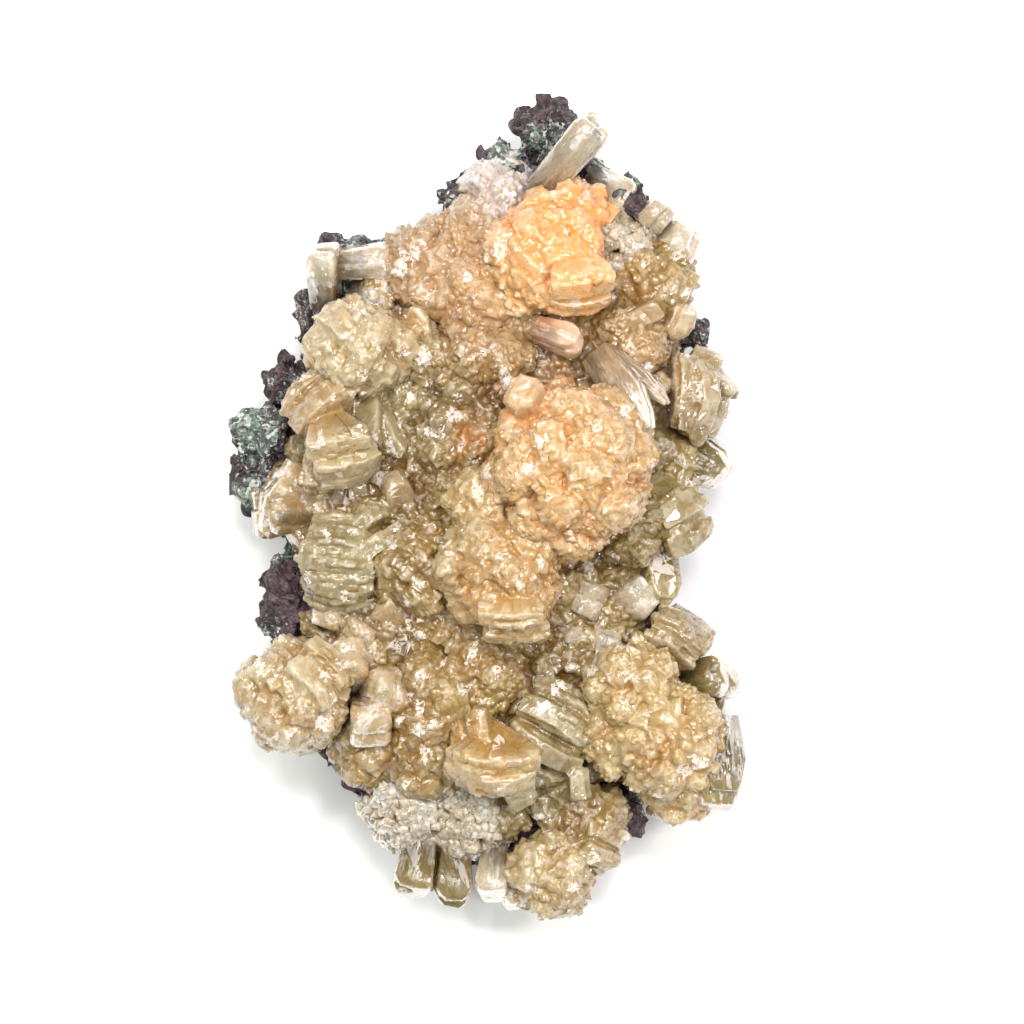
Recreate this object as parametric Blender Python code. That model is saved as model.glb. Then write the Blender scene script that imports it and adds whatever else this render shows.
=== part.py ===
"""Stellerite with heulandite on basalt: a crystal specimen that lies on the sawn face of its rock.

Metres, +Z up from the sawn face, +Y towards the pointed end, origin under the middle of the specimen.
The tables are in millimetres. Each aggregate of crystals is one solid, and its crystals grow from the
roots in its rows. An earlier aggregate keeps its whole shape, and a later one stops 0.3 mm short of it,
as a crystal does that grew against its neighbour.
"""

import math
import random
import zlib
from collections import namedtuple

import bmesh
import bpy
from mathutils import Matrix, Vector

MM = 0.001
GAP = 0.34
GOLDEN_ANGLE = math.pi * (3 - math.sqrt(5))
CROWDED = 0.004
KEPT_TRIANGLES = 0.82
FLAT_ANGLE = math.radians(0.5)

# The rock's rim in plan, and its rings from the sawn face up: share of the plan, height, roughness of both
RIM = [
    (3.0, 50.5), (10.5, 51.5), (20.5, 42.5), (26.5, 33.0), (28.8, 20.0), (28.2, 6.0), (25.8, -5.0),
    (23.0, -13.0), (28.0, -20.0), (29.2, -33.0), (24.5, -42.0), (13.0, -48.0), (1.0, -50.5),
    (-10.0, -50.0), (-17.0, -41.0), (-27.5, -30.5), (-30.5, -20.0), (-28.6, -6.0), (-32.4, 3.0),
    (-31.0, 12.0), (-26.0, 22.0), (-23.5, 32.0), (-18.5, 36.0), (-8.0, 39.5), (-3.5, 45.5),
]
ROCK_RINGS = [(0.85, 0.0, 0.0), (0.95, 4.5, 1.6), (0.99, 10.5, 2.0), (0.86, 14.0, 0.0)]
ROUGH_SHARE = 0.022

# Lumps of basalt that stand out of the rim: centre, then half sizes
BASALT_LUMPS = [
    (8.4, 52.8, 13.0, 4.7, 5.2, 7.0), (2.6, 47.6, 12.0, 4.6, 4.6, 6.5), (-2.6, 43.4, 11.5, 4.2, 4.6, 6.0),
    (14.6, 46.2, 12.0, 3.2, 3.2, 6.5), (20.4, 42.2, 15.0, 2.7, 3.9, 8.0), (28.6, 24.6, 12.0, 3.0, 2.8, 6.0),
    (-20.4, 34.8, 11.0, 5.0, 3.8, 5.5), (-23.6, 25.6, 11.5, 3.8, 5.0, 6.5),
    (-28.0, 17.4, 12.0, 3.8, 4.0, 6.5), (-31.2, 10.4, 13.0, 4.8, 4.4, 6.5),
    (-32.6, 3.8, 10.5, 4.6, 5.2, 6.5), (-19.4, 0.2, 15.0, 3.6, 2.8, 5.0),
    (-27.8, -12.6, 13.0, 4.8, 8.0, 6.5), (20.6, -17.0, 12.0, 4.4, 3.0, 5.5), (19.6, -43.8, 10.0, 3.4, 2.8, 5.5),
]
LUMP_POINTS = 14

# The crust of small crystals on the rock, in the same way
CRUST_RIM = RIM[::2]
CRUST_RINGS = [(0.84, 14.34, 0.0), (0.87, 15.4, 0.0), (0.68, 18.4, 0.8), (0.36, 21.4, 0.0)]
# Mounds in that crust: centre and height of the top, then radius
CRUST_MOUNDS = [
    (-8.6, 18.4, 23.0, 7.0), (-4.0, 9.8, 24.6, 8.2), (0.8, 20.2, 24.6, 6.6), (18.8, 22.4, 22.8, 7.6),
    (19.4, -2.6, 24.4, 6.4), (15.2, -21.8, 22.4, 5.4), (-15.0, 33.0, 19.0, 5.0),
]
MOUND_POINTS = 11
MOUND_DEPTH = 6.0

# One crystal alone, or one of a group: root, where it points, where its broad face looks, sizes
Prism = namedtuple("Prism", "root aim face length width thick tip")
# Fan-shaped plates on one root: each plate's half angle, and how far the outer plates lean apart
Fan = namedtuple("Fan", "root aim face reach spread splay plates thick")
# A ball of crystals with tips that stand out of it, out to an angle from aim
Burst = namedtuple("Burst", "root aim reach cone tips width thick")

BALL_POINTS = 11
TIP_START = 0.4

# A tip: share of the width that is left at its end, and share of the length over which it narrows
POINT = (0.12, 0.42)
CHISEL = (0.45, 0.22)
BLUNT = (0.68, 0.12)
COFFIN = (0.55, 0.45)

AGGREGATES = {
    "heulandite_blade_top": [
        Prism((7.4, 44.4, 18.5), (0.63, 0.71, 0.3), (-0.2, -0.2, 1), 14.2, 6.0, 4.4, BLUNT),
    ],
    "heulandite_blade_right": [
        Prism((15.4, 21.4, 25.0), (0.5, -0.76, 0.42), (-0.5, 0.1, 1), 15.6, 5.6, 3.0, POINT),
        Prism((16.6, 21.6, 24.0), (0.7, -0.62, 0.2), (-0.5, 0.1, 1), 12.0, 3.6, 2.6, POINT),
    ],
    "heulandite_block_pink": [
        Prism((7.0, 24.8, 24.0), (0.82, -0.26, 0.34), (0.1, 0.3, 1), 7.2, 4.4, 3.8, CHISEL),
    ],
    "heulandite_knob_right": [
        Prism((21.4, 14.2, 18.0), (0.42, 0.56, 0.7), (-0.4, -0.2, 1), 7.2, 3.8, 3.2, BLUNT),
    ],
    "stellerite_ball_center": [
        Burst((11.4, 5.6, 28.4), (0, 0, 1), 12.6, 100, 17, 5.6, 3.8),
        Prism((6.6, 12.6, 31.6), (-0.3, 0.55, 0.8), (0.3, 0.3, 1), 7.6, 5.4, 4.2, BLUNT),
    ],
    "stellerite_ball_lower_center": [
        Fan((3.4, -9.6, 28.0), (0, -0.8, 0.5), (0, 0.5, 1), 10.8, 30, 9, 2, 3.4),
        Burst((2.0, -8.0, 26.4), (-0.1, 0, 1), 9.6, 92, 7, 5.0, 3.4),
        Burst((-0.6, 0.6, 26.6), (-0.1, 0.1, 1), 5.6, 70, 2, 4.2, 3.0),
    ],
    "stellerite_sheaf_bottom_center": [
        Fan((1.4, -31.0, 22.0), (-0.1, -0.75, 0.6), (0, 0.7, 0.6), 10.6, 42, 12, 3, 3.2),
        Fan((0.6, -31.4, 21.0), (-0.62, -0.1, 0.7), (0.3, 0.2, 0.8), 6.8, 34, 10, 2, 3.0),
    ],
    "stellerite_rosette_lower_right": [
        Burst((20.2, -24.8, 21.5), (0, 0.1, 1), 7.2, 92, 5, 5.0, 3.4),
        Burst((25.4, -32.4, 21.5), (0.1, 0, 1), 8.4, 98, 6, 5.6, 3.6),
        Burst((17.6, -32.4, 19.0), (-0.2, 0, 1), 6.0, 60, 2, 4.6, 3.2),
        Burst((26.6, -38.4, 18.5), (0.1, -0.3, 1), 5.8, 90, 3, 4.6, 3.2),
    ],
    "heulandite_large_right": [
        Prism((31.4, -29.6, 18.5), (0.04, -0.92, 0.3), (0.35, 0.3, 1), 12.6, 8.4, 6.0, COFFIN),
    ],
    "stellerite_ball_lower_left": [
        Burst((-27.2, -26.2, 21.0), (-0.1, 0.1, 1), 8.4, 105, 7, 5.6, 3.6),
        Fan((-26.6, -25.8, 21.0), (0.45, 0.5, 0.75), (-0.4, -0.3, 1), 9.8, 30, 10, 2, 3.6),
        Fan((-26.8, -26.4, 18.0), (0.05, -0.85, 0.32), (0, 0.4, 1), 9.2, 40, 8, 2, 3.2),
    ],
    "heulandite_cluster_lower_left": [
        Prism((-18.4, -24.6, 17.0), (-0.15, 0.5, 0.85), (0.2, -0.6, 1), 9.6, 6.6, 4.6, CHISEL),
        Prism((-16.6, -25.6, 17.0), (0.42, 0.05, 0.9), (-0.7, 0.1, 0.6), 9.6, 7.2, 4.8, CHISEL),
        Prism((-17.4, -27.6, 16.0), (0.1, -0.35, 0.9), (0, 0.8, 0.5), 9.6, 7.0, 5.0, BLUNT),
    ],
    "stellerite_sheaf_left": [
        Fan((-23.8, 14.4, 19.5), (0.32, -0.78, 0.5), (0.1, 0.45, 0.85), 13.8, 22, 20, 4, 3.0),
        Fan((-21.0, 12.6, 19.5), (-0.55, 0.4, 0.6), (0.3, -0.5, 0.8), 8.8, 44, 10, 2, 3.0),
    ],
    "stellerite_dome_left": [
        Burst((-18.4, 22.2, 21.0), (-0.1, 0.1, 1), 7.4, 90, 6, 5.2, 3.4),
        Burst((-13.6, 22.4, 19.5), (0.3, 0, 1), 5.6, 60, 2, 4.4, 3.0),
        Fan((-12.6, 24.6, 17.0), (0.7, 0.35, 0.6), (-0.5, -0.3, 1), 6.4, 26, 8, 1, 2.6),
    ],
    "stellerite_leaves_left": [
        Prism((-17.6, 18.4, 17.0), (0.16, -0.8, 0.52), (-0.5, 0.4, 0.9), 12.6, 4.6, 2.4, POINT),
        Prism((-15.6, 17.2, 16.0), (0.28, -0.78, 0.52), (0.6, 0.4, 0.6), 13.4, 5.0, 2.6, POINT),
    ],
    "stellerite_barrel_left": [
        Fan((-20.6, -7.2, 18.0), (-0.05, -0.05, 1), (0.1, 1, 0), 8.0, 44, 52, 5, 3.4),
        Fan((-15.4, -5.2, 17.0), (0.35, 0.25, 0.9), (-0.5, 0.8, 0), 7.8, 38, 34, 3, 3.0),
    ],
    "stellerite_sheaf_mid_left": [
        Prism((-12.0, -2.4, 18.0), (-0.1, 0.7, 0.6), (0.3, -0.6, 0.8), 9.6, 4.6, 2.8, CHISEL),
        Burst((-8.4, -8.4, 19.5), (0.1, 0, 1), 8.2, 78, 6, 5.2, 3.4),
        Burst((-7.6, -15.6, 17.5), (0, -0.2, 1), 6.0, 60, 2, 4.6, 3.2),
    ],
    "heulandite_mid_left": [
        Prism((-16.0, -15.6, 14.0), (0.5, 0.3, 0.85), (-0.6, 0.5, 0.6), 10.0, 6.4, 4.6, CHISEL),
        Prism((-16.6, -17.4, 13.0), (-0.3, -0.1, 0.9), (0.5, 0.8, 0.2), 8.4, 5.4, 4.2, BLUNT),
        Prism((-19.4, -14.6, 13.0), (-0.45, 0, 0.9), (0.2, 0.9, 0.2), 8.4, 5.0, 3.6, BLUNT),
    ],
    "heulandite_fan_far_left": [
        Fan((-21.4, -0.6, 15.0), (-0.86, 0.2, 0.36), (0.2, -0.3, 1), 13.4, 26, 9, 2, 3.2),
        Prism((-22.6, 0.8, 15.0), (-0.2, 0.5, 0.75), (0.2, -0.5, 0.8), 9.0, 5.2, 2.8, CHISEL),
        Prism((-21.2, -0.8, 14.0), (-0.64, -0.34, 0.5), (0.2, 0.3, 1), 9.2, 5.4, 3.0, BLUNT),
    ],
    "stellerite_rosette_top": [
        Fan((11.4, 36.6, 23.5), (0.14, -0.8, 0.55), (0, 0.6, 0.8), 11.6, 26, 8, 2, 3.4),
        Fan((9.0, 36.6, 23.0), (-0.62, -0.4, 0.6), (0.3, 0.5, 0.8), 8.2, 30, 0, 1, 3.0),
        Burst((8.0, 35.0, 20.5), (0.05, 0.1, 1), 9.4, 84, 7, 5.2, 3.4),
        Burst((12.0, 40.6, 19.0), (0.1, 0.3, 1), 5.8, 66, 2, 4.4, 3.0),
    ],
    "stellerite_frost_top": [
        Burst((1.6, 43.6, 14.5), (-0.1, 0.2, 1), 6.0, 72, 4, 4.4, 3.0),
    ],
    "heulandite_group_upper_right": [
        Prism((14.6, 45.6, 15.0), (0.7, -0.42, 0.55), (-0.3, 0.4, 1), 8.4, 5.4, 4.2, BLUNT),
        Prism((22.2, 39.8, 14.0), (0.2, 0.16, 0.95), (-0.7, 0.7, 0.2), 9.2, 5.4, 3.6, CHISEL),
        Prism((23.2, 36.8, 14.0), (0.56, 0.02, 0.78), (-0.5, 0.4, 0.6), 9.0, 5.8, 4.0, BLUNT),
        Burst((18.6, 36.6, 16.5), (0.1, 0, 1), 6.2, 66, 3, 4.8, 3.2),
    ],
    "stellerite_sprays_upper_right": [
        Prism((15.6, 24.4, 20.0), (0.82, 0.36, 0.26), (-0.1, -0.3, 1), 10.2, 3.6, 2.8, BLUNT),
        Burst((23.0, 31.4, 17.0), (0.1, 0, 1), 6.8, 90, 5, 5.0, 3.2),
        Prism((23.8, 26.8, 14.0), (0.4, -0.1, 0.85), (-0.6, 0.3, 0.6), 9.0, 5.4, 3.6, BLUNT),
    ],
    "heulandite_pair_upper_left": [
        Prism((-22.6, 28.6, 15.0), (-0.06, 0.86, 0.42), (-0.3, -0.3, 1), 9.4, 4.8, 4.4, BLUNT),
        Prism((-20.4, 34.2, 15.5), (0.9, 0.04, 0.3), (0, -0.2, 1), 8.4, 5.6, 4.8, BLUNT),
        Prism((-17.8, 31.6, 14.0), (0.7, -0.1, 0.6), (-0.3, 0.2, 1), 6.6, 3.8, 3.4, BLUNT),
        Prism((-18.4, 30.0, 13.0), (0.36, -0.3, 0.85), (-0.4, 0.2, 0.9), 8.6, 4.4, 3.6, BLUNT),
    ],
    "stellerite_mound_upper_left": [
        Burst((-8.0, 33.2, 16.0), (-0.1, 0.2, 1), 7.6, 78, 4, 5.0, 3.2),
        Burst((-1.4, 29.6, 17.0), (0, -0.1, 1), 8.2, 74, 5, 5.4, 3.4),
        Burst((-1.2, 37.6, 15.0), (0, 0.2, 1), 7.0, 70, 3, 4.8, 3.2),
    ],
    "stellerite_cluster_right": [
        Fan((26.2, 15.2, 16.0), (0.6, 0.04, 0.8), (-0.8, 0.1, 0.6), 9.0, 46, 14, 3, 3.2),
        Prism((28.4, 16.6, 17.0), (0.94, 0.02, 0.3), (-0.2, -0.3, 1), 7.0, 5.4, 3.8, POINT),
        Prism((28.2, 17.0, 15.0), (0.36, 0.6, 0.6), (-0.2, -0.4, 1), 7.2, 5.2, 3.2, BLUNT),
    ],
    "heulandite_point_right": [
        Prism((26.6, 6.6, 15.0), (0.88, -0.12, 0.36), (-0.3, 0.2, 1), 8.8, 7.6, 5.0, POINT),
    ],
    "stellerite_columns_right": [
        Fan((23.6, -2.2, 14.0), (0.34, 0.22, 0.85), (-0.4, 0.8, 0.2), 9.8, 28, 24, 3, 4.0),
        Prism((23.4, -3.0, 16.0), (0.05, -0.86, 0.42), (0.5, 0.3, 0.8), 11.8, 6.2, 3.2, CHISEL),
        Burst((24.8, 6.6, 14.5), (0.2, 0, 1), 6.4, 80, 3, 4.8, 3.2),
    ],
    "stellerite_blades_lower_right": [
        Fan((23.6, -21.4, 16.0), (0.36, 0.56, 0.6), (-0.3, -0.5, 0.8), 10.4, 28, 10, 3, 3.0),
    ],
    "heulandite_green_right": [
        Prism((27.8, -24.2, 16.0), (0.76, 0.14, 0.5), (-0.4, 0.2, 1), 7.8, 6.2, 5.0, CHISEL),
        Prism((29.6, -25.8, 14.0), (0.55, -0.35, 0.5), (-0.3, 0.2, 1), 5.6, 3.8, 3.2, BLUNT),
    ],
    "stellerite_ball_green": [
        Fan((8.4, -31.0, 17.0), (0.05, -0.05, 1), (0.5, 0.85, 0), 8.8, 44, 50, 4, 3.6),
        Prism((12.8, -38.4, 14.0), (0, 0, 1), (1, 0.1, 0), 9.4, 5.0, 2.6, BLUNT),
        Prism((4.6, -37.6, 14.0), (0, -0.3, 0.9), (-0.4, 0.6, 0.5), 9.0, 4.8, 3.2, BLUNT),
        Burst((9.0, -38.4, 14.5), (0, 0, 1), 6.2, 60, 2, 4.6, 3.2),
    ],
    "stellerite_mass_lower": [
        Burst((-7.6, -26.4, 18.0), (0, 0, 1), 8.4, 74, 5, 5.4, 3.4),
        Burst((-0.6, -23.0, 17.0), (0, 0, 1), 7.4, 66, 3, 5.0, 3.4),
        Burst((-9.2, -34.2, 16.5), (0, -0.1, 1), 7.0, 76, 4, 4.8, 3.2),
        Burst((-16.4, -33.6, 15.5), (-0.2, -0.1, 1), 6.0, 80, 3, 4.6, 3.2),
    ],
    "heulandite_trio_mid_right": [
        Prism((17.6, -13.6, 16.0), (0.5, 0.15, 0.85), (-0.4, 0.7, 0.6), 9.0, 5.0, 4.4, BLUNT),
        Prism((15.6, -13.4, 15.0), (-0.25, 0.1, 0.9), (0.2, 0.8, 0.4), 9.4, 5.2, 4.2, CHISEL),
        Prism((14.8, -16.6, 14.0), (-0.55, -0.3, 0.9), (0.2, 0.9, 0.2), 10.0, 5.0, 4.4, BLUNT),
        Prism((15.6, -16.8, 14.0), (0.1, -0.4, 0.9), (0.3, 0.8, 0.4), 9.4, 5.2, 4.2, CHISEL),
    ],
    "stellerite_rosette_bottom": [
        Burst((8.8, -50.9, 14.5), (0, -0.35, 1), 6.8, 100, 6, 4.8, 3.2),
    ],
    "heulandite_bottom": [
        Prism((1.4, -48.0, 12.0), (-0.1, -0.78, 0.48), (-0.1, 0.4, 1), 7.8, 5.2, 4.2, BLUNT),
        Prism((3.4, -49.2, 11.0), (0.06, -0.84, 0.36), (0.2, 0.3, 1), 7.8, 4.2, 3.6, CHISEL),
    ],
    "stellerite_ribbed_bottom": [
        Fan((12.6, -44.8, 13.0), (0.46, -0.54, 0.66), (0.5, 0.6, 0.2), 8.4, 26, 22, 3, 3.2),
        Burst((13.4, -43.6, 13.5), (0.1, 0, 1), 6.8, 80, 4, 4.8, 3.2),
    ],
    "heulandite_blades_bottom_left": [
        Prism((-9.2, -46.2, 13.0), (-0.16, -0.82, 0.36), (-0.1, 0.3, 1), 9.0, 6.4, 3.8, BLUNT),
        Prism((-4.8, -46.4, 13.0), (-0.04, -0.88, 0.26), (0.2, 0.3, 1), 10.2, 6.2, 3.6, CHISEL),
    ],
    "heulandite_druse_lower_left": [
        Burst((-11.2, -41.6, 12.5), (-0.2, -0.2, 1), 7.0, 84, 4, 5.2, 3.4),
        Burst((-2.8, -42.6, 12.5), (0, -0.1, 1), 7.0, 74, 3, 5.2, 3.4),
    ],
}

# What the nodes are made of: linear colour, roughness
BASALT = ("basalt", (0.045, 0.035, 0.040), 0.85)
PEACH = ("stellerite peach", (0.86, 0.55, 0.32), 0.35)
HONEY = ("stellerite honey", (0.70, 0.52, 0.28), 0.35)
CLEAR = ("heulandite clear", (0.66, 0.60, 0.50), 0.22)
PEACH_NODES = {
    "stellerite_ball_center", "stellerite_ball_lower_center", "stellerite_rosette_top",
    "stellerite_rosette_lower_right", "stellerite_sheaf_bottom_center",
}


def seeded(*words):
    """A random generator that gives the same numbers for the same words."""
    return random.Random(zlib.crc32(" ".join(map(str, words)).encode()))


def axes(aim, face):
    """A turn that brings +Z to aim, and +Y as near to face as it can."""
    z = Vector(aim).normalized()
    y = Vector(face) - Vector(face).dot(z) * z
    y.normalize()
    return Matrix((y.cross(z), y, z)).transposed()


def spread_ways(count, cone, rng):
    """Directions spread evenly over the part of a sphere that lies within cone degrees of +Z."""
    drop = 1 - math.cos(math.radians(cone))
    ways = []
    for i in range(count):
        height = 1 - (i + 0.5) / count * drop
        across = math.sqrt(max(0.0, 1 - height * height))
        turn = i * GOLDEN_ANGLE + rng.uniform(-0.25, 0.25)
        ways.append(Vector((across * math.cos(turn), across * math.sin(turn), height)))
    return ways


def grown(corners, by):
    """The same crystal, larger by this much on every side."""
    low = Vector(map(min, zip(*corners)))
    high = Vector(map(max, zip(*corners)))
    middle = (low + high) / 2
    scale = [1 + by / half for half in (high - low) / 2]
    return [middle + Vector(map(float.__mul__, scale, corner - middle)) for corner in corners]


def placed(corners, turn, root):
    return [turn @ corner + Vector(root) for corner in corners]


def blade(length, width, thick, tip, rng):
    """Corners of one tabular crystal: it grows along +Z from the origin and its broad faces look along Y."""
    tip_width, tip_length = tip
    shoulders = [1 - tip_length * rng.uniform(0.75, 1.25) for _ in range(2)]
    slant = rng.uniform(-0.12, 0.12)
    outline = [
        (-0.38, 0), (0.38, 0), (0.5, shoulders[0]), (-0.5, shoulders[1]),
        (slant + 0.5 * tip_width, 1), (slant - 0.5 * tip_width, 1),
    ]
    corners = []
    for across, along in outline:
        half = 0.5 * thick * (0.62 if along == 1 else 0.7 + 0.3 * along)
        corners += [Vector((across * width, side * half, along * length)) for side in (-1, 1)]
    return corners


def stub(length, width, thick, rng):
    """Corners of one short crystal with a slanted end, for the tips of a ball."""
    ends = [length * rng.uniform(0.86, 1.0), length]
    rng.shuffle(ends)
    corners = []
    for face in (-1, 1):
        for side, end in zip((-1, 1), ends):
            corners.append(Vector((side * 0.5 * width, face * 0.5 * thick, 0)))
            corners.append(Vector((side * 0.46 * width, face * 0.4 * thick, end)))
    return corners


def plate(reach, spread, thick, rng):
    """Corners of one fan-shaped plate, narrow and thin at the root, with a rim of a few straight stretches."""
    half_root = 0.1 * reach
    corners = [Vector((x, side * 0.3 * thick, 0)) for x in (-half_root, half_root) for side in (-1, 1)]
    stretches = 4 if spread > 40 else 3
    for step in range(stretches + 1):
        angle = math.radians(spread * (2 * step / stretches - 1))
        out = reach * rng.uniform(0.94, 1.02)
        for side in (-1, 1):
            corners.append(Vector((out * math.sin(angle), side * 0.5 * thick, out * math.cos(angle))))
    return corners


def prism_crystals(row, grow):
    corners = blade(row.length, row.width, row.thick, row.tip, seeded(row.root))
    return [placed(grown(corners, grow), axes(row.aim, row.face), row.root)]


def fan_crystals(row, grow):
    rng = seeded(row.root)
    base = axes(row.aim, row.face)
    crystals = []
    for i in range(row.plates):
        lean = 2 * i / (row.plates - 1) - 1 if row.plates > 1 else 0
        tilt = Matrix.Rotation(math.radians(-row.splay * lean + rng.uniform(-2, 2)), 3, "X")
        skew = Matrix.Rotation(math.radians(rng.uniform(-6, 6)), 3, "Y")
        corners = plate(row.reach * (1 - 0.1 * lean * lean), row.spread, row.thick, rng)
        root = Vector(row.root) + base @ Vector((0, 0.3 * row.thick * lean, 0))
        crystals.append(placed(grown(corners, grow), base @ tilt @ skew, root))
    return crystals


def burst_crystals(row, grow):
    rng = seeded(row.root)
    base = axes(row.aim, (0.3, 1, 0.1))
    ways = spread_ways(BALL_POINTS + row.tips // 2, 180, rng)
    ball = [base @ way * row.reach * rng.uniform(0.8, 0.9) for way in ways]
    crystals = [placed(grown(ball, grow), Matrix.Identity(3), row.root)]
    for way in spread_ways(row.tips, row.cone, rng):
        turn = axes(base @ way, [rng.gauss(0, 1) for _ in range(3)])
        length = (1 - TIP_START) * row.reach * rng.uniform(0.96, 1.06)
        corners = stub(length, row.width * rng.uniform(0.85, 1.1), row.thick, rng)
        start = Vector(row.root) + turn @ Vector((0, 0, TIP_START * row.reach))
        crystals.append(placed(grown(corners, grow), turn, start))
    return crystals


CRYSTALS_OF = {Prism: prism_crystals, Fan: fan_crystals, Burst: burst_crystals}


def object_of(name, shape):
    mesh = bpy.data.meshes.new(name)
    shape.to_mesh(mesh)
    shape.free()
    thing = bpy.data.objects.new(name, mesh)
    bpy.context.scene.collection.objects.link(thing)
    return thing


def hull_object(name, points):
    """The convex solid round these points."""
    shape = bmesh.new()
    for point in points:
        shape.verts.new(Vector(point) * MM)
    made = bmesh.ops.convex_hull(shape, input=shape.verts)
    inside = [part for part in made["geom_interior"] if isinstance(part, bmesh.types.BMVert)]
    bmesh.ops.delete(shape, geom=inside)
    bmesh.ops.recalc_face_normals(shape, faces=shape.faces)
    return object_of(name, shape)


def ring(rim, share, z, rough, grow):
    """The rim drawn in to a share of its size, at about height z."""
    rng = seeded(share, z)
    points = []
    for x, y in rim:
        out = share + rng.uniform(-rough, rough) * ROUGH_SHARE + grow / math.hypot(x, y)
        points.append((x * out, y * out, z + rng.uniform(-rough, rough)))
    return points


def ringed_solid(name, rings):
    """A closed solid through rings of points, from a flat underside up to a flat top."""
    shape = bmesh.new()
    loops = [[shape.verts.new(Vector(point) * MM) for point in points] for points in rings]
    count = len(loops[0])
    for low, high in zip(loops, loops[1:]):
        for i in range(count):
            after = (i + 1) % count
            shape.faces.new((low[i], low[after], high[after]))
            shape.faces.new((low[i], high[after], high[i]))
    shape.faces.new(loops[0][::-1])
    shape.faces.new(loops[-1])
    return object_of(name, shape)


def evaluated(name, thing):
    """A new object with the shape that the modifiers give this one, which goes."""
    bpy.context.view_layer.update()
    graph = bpy.context.evaluated_depsgraph_get()
    mesh = bpy.data.meshes.new_from_object(thing.evaluated_get(graph))
    bpy.data.objects.remove(thing)
    result = bpy.data.objects.new(name, mesh)
    mesh.name = name
    bpy.context.scene.collection.objects.link(result)
    return result


def combined(name, first, others, operation):
    """The first object with the others joined to it or cut out of it."""
    if not others:
        first.name = name
        return first
    operands = bpy.data.collections.new(name + "_operands")
    for other in others:
        operands.objects.link(other)
    boolean = first.modifiers.new("combine", "BOOLEAN")
    boolean.operation = operation
    boolean.operand_type = "COLLECTION"
    boolean.collection = operands
    first.name = name + "_start"
    result = evaluated(name, first)
    bpy.data.collections.remove(operands)
    return result


def joined(name, things):
    result = combined(name, things[0], things[1:], "UNION")
    for thing in things[1:]:
        bpy.data.objects.remove(thing)
    return result


def knobs(name, rows, count, grow):
    """Rounded lumps with uneven faces: a centre and half sizes for each."""
    things = []
    for i, (*centre, half_x, half_y, half_z) in enumerate(rows):
        rng = seeded(centre)
        points = [
            Vector((way.x * half_x, way.y * half_y, way.z * half_z)) * rng.uniform(0.86, 1.05)
            for way in spread_ways(count, 180, rng)
        ]
        things.append(hull_object(f"{name}_{i}", placed(grown(points, grow), Matrix.Identity(3), centre)))
    return things


def basalt(name, grow=0.0):
    """The rock: a slab with a flat sawn underside, and the lumps that stand out of its rim."""
    *sides, top = [ring(RIM, *numbers, grow) for numbers in ROCK_RINGS]
    slab = ringed_solid(name + "_slab", [*sides, [(x, y, z + grow) for x, y, z in top]])
    return joined(name, [slab, *knobs(name + "_lump", BASALT_LUMPS, LUMP_POINTS, grow)])


def crust(name, grow=0.0):
    """The crust of small crystals between the rock and the larger aggregates."""
    under, *upper = [ring(CRUST_RIM, *numbers, grow) for numbers in CRUST_RINGS]
    rings = [[(x, y, z - grow) for x, y, z in under]] + [[(x, y, z + grow) for x, y, z in row] for row in upper]
    layer = ringed_solid(name + "_layer", rings)
    mounds = [(x, y, top - MOUND_DEPTH, radius, radius, MOUND_DEPTH) for x, y, top, radius in CRUST_MOUNDS]
    return joined(name, [layer, *knobs(name + "_mound", mounds, MOUND_POINTS, grow)])


def aggregate(name, rows):
    """All crystals of these rows, grown together."""
    crystals = [corners for row in rows for corners in CRYSTALS_OF[type(row)](row, 0.0)]
    return joined(name, [hull_object(f"{name}_{i}", corners) for i, corners in enumerate(crystals)])


def room_of(name, rows):
    """The room that these rows take from their neighbours: one convex solid round each row's crystals."""
    hulls = [sum(CRYSTALS_OF[type(row)](row, GAP), []) for row in rows]
    return joined(name, [hull_object(f"{name}_{i}", corners) for i, corners in enumerate(hulls)])


def meet(one, other):
    """Whether the boxes of two objects overlap."""
    spans = [list(zip(*(vertex.co for vertex in thing.data.vertices))) for thing in (one, other)]
    return all(min(a) < max(b) and min(b) < max(a) for a, b in zip(*spans))


def tidied(thing):
    """Keeps only the largest piece, and merges the crowded points that a Boolean leaves."""
    shape = bmesh.new()
    shape.from_mesh(thing.data)
    left = set(shape.verts)
    largest = set()
    while left:
        found = set()
        front = {left.pop()}
        while front:
            found |= front
            front = {edge.other_vert(vertex) for vertex in front for edge in vertex.link_edges} - found
        left -= found
        largest = max(largest, found, key=len)
    bmesh.ops.delete(shape, geom=[vertex for vertex in shape.verts if vertex not in largest])
    bmesh.ops.remove_doubles(shape, verts=shape.verts, dist=CROWDED * MM)
    bmesh.ops.dissolve_limit(shape, angle_limit=FLAT_ANGLE, verts=shape.verts, edges=shape.edges)
    bmesh.ops.triangulate(shape, faces=shape.faces)
    shape.to_mesh(thing.data)
    shape.free()
    decimate = thing.modifiers.new("fewer triangles", "DECIMATE")
    decimate.ratio = KEPT_TRIANGLES
    decimate.use_collapse_triangulate = True


def material(kind):
    name, colour, roughness = kind
    made = bpy.data.materials.get(name)
    if made is None:
        made = bpy.data.materials.new(name)
        made.use_nodes = True
        shader = made.node_tree.nodes["Principled BSDF"]
        shader.inputs["Base Color"].default_value = (*colour, 1)
        shader.inputs["Roughness"].default_value = roughness
        shader.inputs["Metallic"].default_value = 0.0
    return made


def kind_of(name):
    if name == "basalt_matrix":
        return BASALT
    if name.startswith("heulandite"):
        return CLEAR
    return PEACH if name in PEACH_NODES else HONEY


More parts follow.
